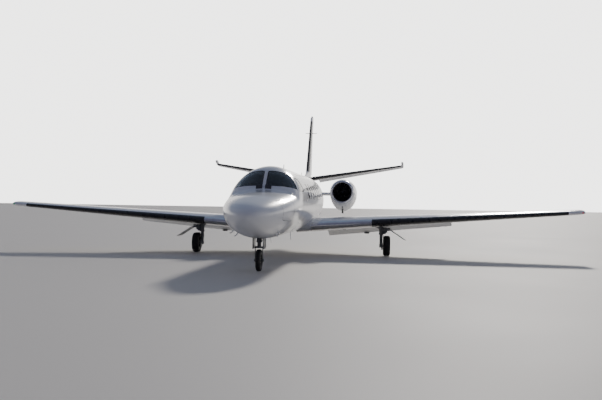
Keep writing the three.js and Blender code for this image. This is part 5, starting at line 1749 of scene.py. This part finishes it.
CAMERA_PLACE = (2.504, -22.723, 1.424)
CAMERA_YAW, CAMERA_PITCH, CAMERA_ROLL = 5.52, 0.23, 0.88
CAMERA_LENS, CAMERA_REACH = 49.39, 500
FLOOR_SIZE = 250.0
FRONT_SKY = (0.115, 0.12, 0.18)
HIGH_SKY = (0.2, 0.25, 0.35)
HORIZON = (1.6, 1.55, 1.5)
BACKDROP = (3.6, 3.57, 3.5)
BACK_FADE, LOW_FADE = (-0.6, 0.75), (0.14, 0.38)
LAMP_AIM = (0, 0, 1.5)
BACK_LIGHT = {"place": (5.2, 34, 16.5), "power": 3.0, "color": (1.0, 0.95, 0.88), "degrees": 5}
LEFT_LIGHT = {"place": (16, -5, 10), "power": 85, "color": (1.0, 0.97, 0.93), "size": 4.0}


def make_camera():
    yaw, pitch, roll = (math.radians(v) for v in (CAMERA_YAW, CAMERA_PITCH, CAMERA_ROLL))
    forward = Vector((-math.sin(yaw) * math.cos(pitch), math.cos(yaw) * math.cos(pitch), math.sin(pitch)))
    level = forward.cross(Vector(UP)).normalized()
    up = level.cross(forward)
    right = level * math.cos(roll) + up * math.sin(roll)
    up = right.cross(forward)
    camera = bpy.data.objects.new("photo_camera", bpy.data.cameras.new("photo_camera"))
    bpy.context.scene.collection.objects.link(camera)
    camera.data.lens = CAMERA_LENS
    camera.data.clip_end = CAMERA_REACH
    turn = Matrix((right, up, -forward)).transposed().to_4x4()
    camera.matrix_world = Matrix.Translation(CAMERA_PLACE) @ turn
    bpy.context.scene.camera = camera


def make_lamp(name, kind, settings):
    """A lamp that shines from its place to the middle of the aircraft"""
    lamp = bpy.data.objects.new(name, bpy.data.lights.new(name, kind))
    lamp.data.energy = settings["power"]
    lamp.data.color = settings["color"]
    place = settings["place"]
    way = Vector(LAMP_AIM) - Vector(place)
    lamp.matrix_world = Matrix.Translation(place) @ way.to_track_quat("-Z", "Y").to_matrix().to_4x4()
    bpy.context.scene.collection.objects.link(lamp)
    return lamp.data


def make_floor():
    matt = Finish("pale_floor", {"Specular IOR Level": 0.25})
    matt.set("Base Color", matt.mix(matt.noise(0.3, 5.0), (0.515, 0.5, 0.48), (0.54, 0.525, 0.5)))
    matt.rough(0.3, 0.67, 0.7)
    bm = bmesh.new()
    bmesh.ops.create_grid(bm, x_segments=1, y_segments=1, size=FLOOR_SIZE)
    floor = bpy.data.objects.new("studio_floor", bpy.data.meshes.new("studio_floor"))
    bm.to_mesh(floor.data)
    bm.free()
    floor.data.materials.append(matt.material)
    bpy.context.scene.collection.objects.link(floor)


def make_studio():
    """Soft light from all round, brightest low behind the aircraft as in the photograph"""
    world = bpy.data.worlds.new("studio")
    world.use_nodes = True
    nodes = Nodes(world.node_tree)
    _, behind, height = nodes.split(nodes.node("TexCoord", output="Generated"))
    back = nodes.between(behind, *BACK_FADE, 0.0, 1.0, "SMOOTHERSTEP")
    low = nodes.between(height, *LOW_FADE, 1.0, 0.0, "SMOOTHERSTEP")
    sky = nodes.mix(back * low, nodes.mix(back, FRONT_SKY, HIGH_SKY), HORIZON)
    seen = nodes.node("LightPath", output="Is Camera Ray")
    background = world.node_tree.nodes["Background"]
    connect(nodes.tree, background.inputs["Color"], nodes.mix(seen, sky, BACKDROP))
    bpy.context.scene.world = world
    make_lamp("back_light", "SUN", BACK_LIGHT).angle = math.radians(BACK_LIGHT["degrees"])
    make_lamp("left_light", "AREA", LEFT_LIGHT).size = LEFT_LIGHT["size"]


make_camera()
make_floor()
make_studio()
make_nose()
make_cabin()
make_rain_nozzles()
make_tailcone()
inside_body = hull(even(CORE_START, TAIL_END, TAIL_STEP), CORE_DEPTH)
make_wings(inside_body)
make_wing_details()
make_tail()
make_fin(inside_body)
make_tail_details()
make_engines(inside_body)
make_wheels()
make_nose_leg()
make_nose_fork()
make_main_gear()
make_main_doors()
make_nose_doors()
make_seats()
make_cockpit()
dress_cad_nodes()
make_air_tubes()
make_aerials()
make_door_handle()
make_wicks()
make_wing_lights()
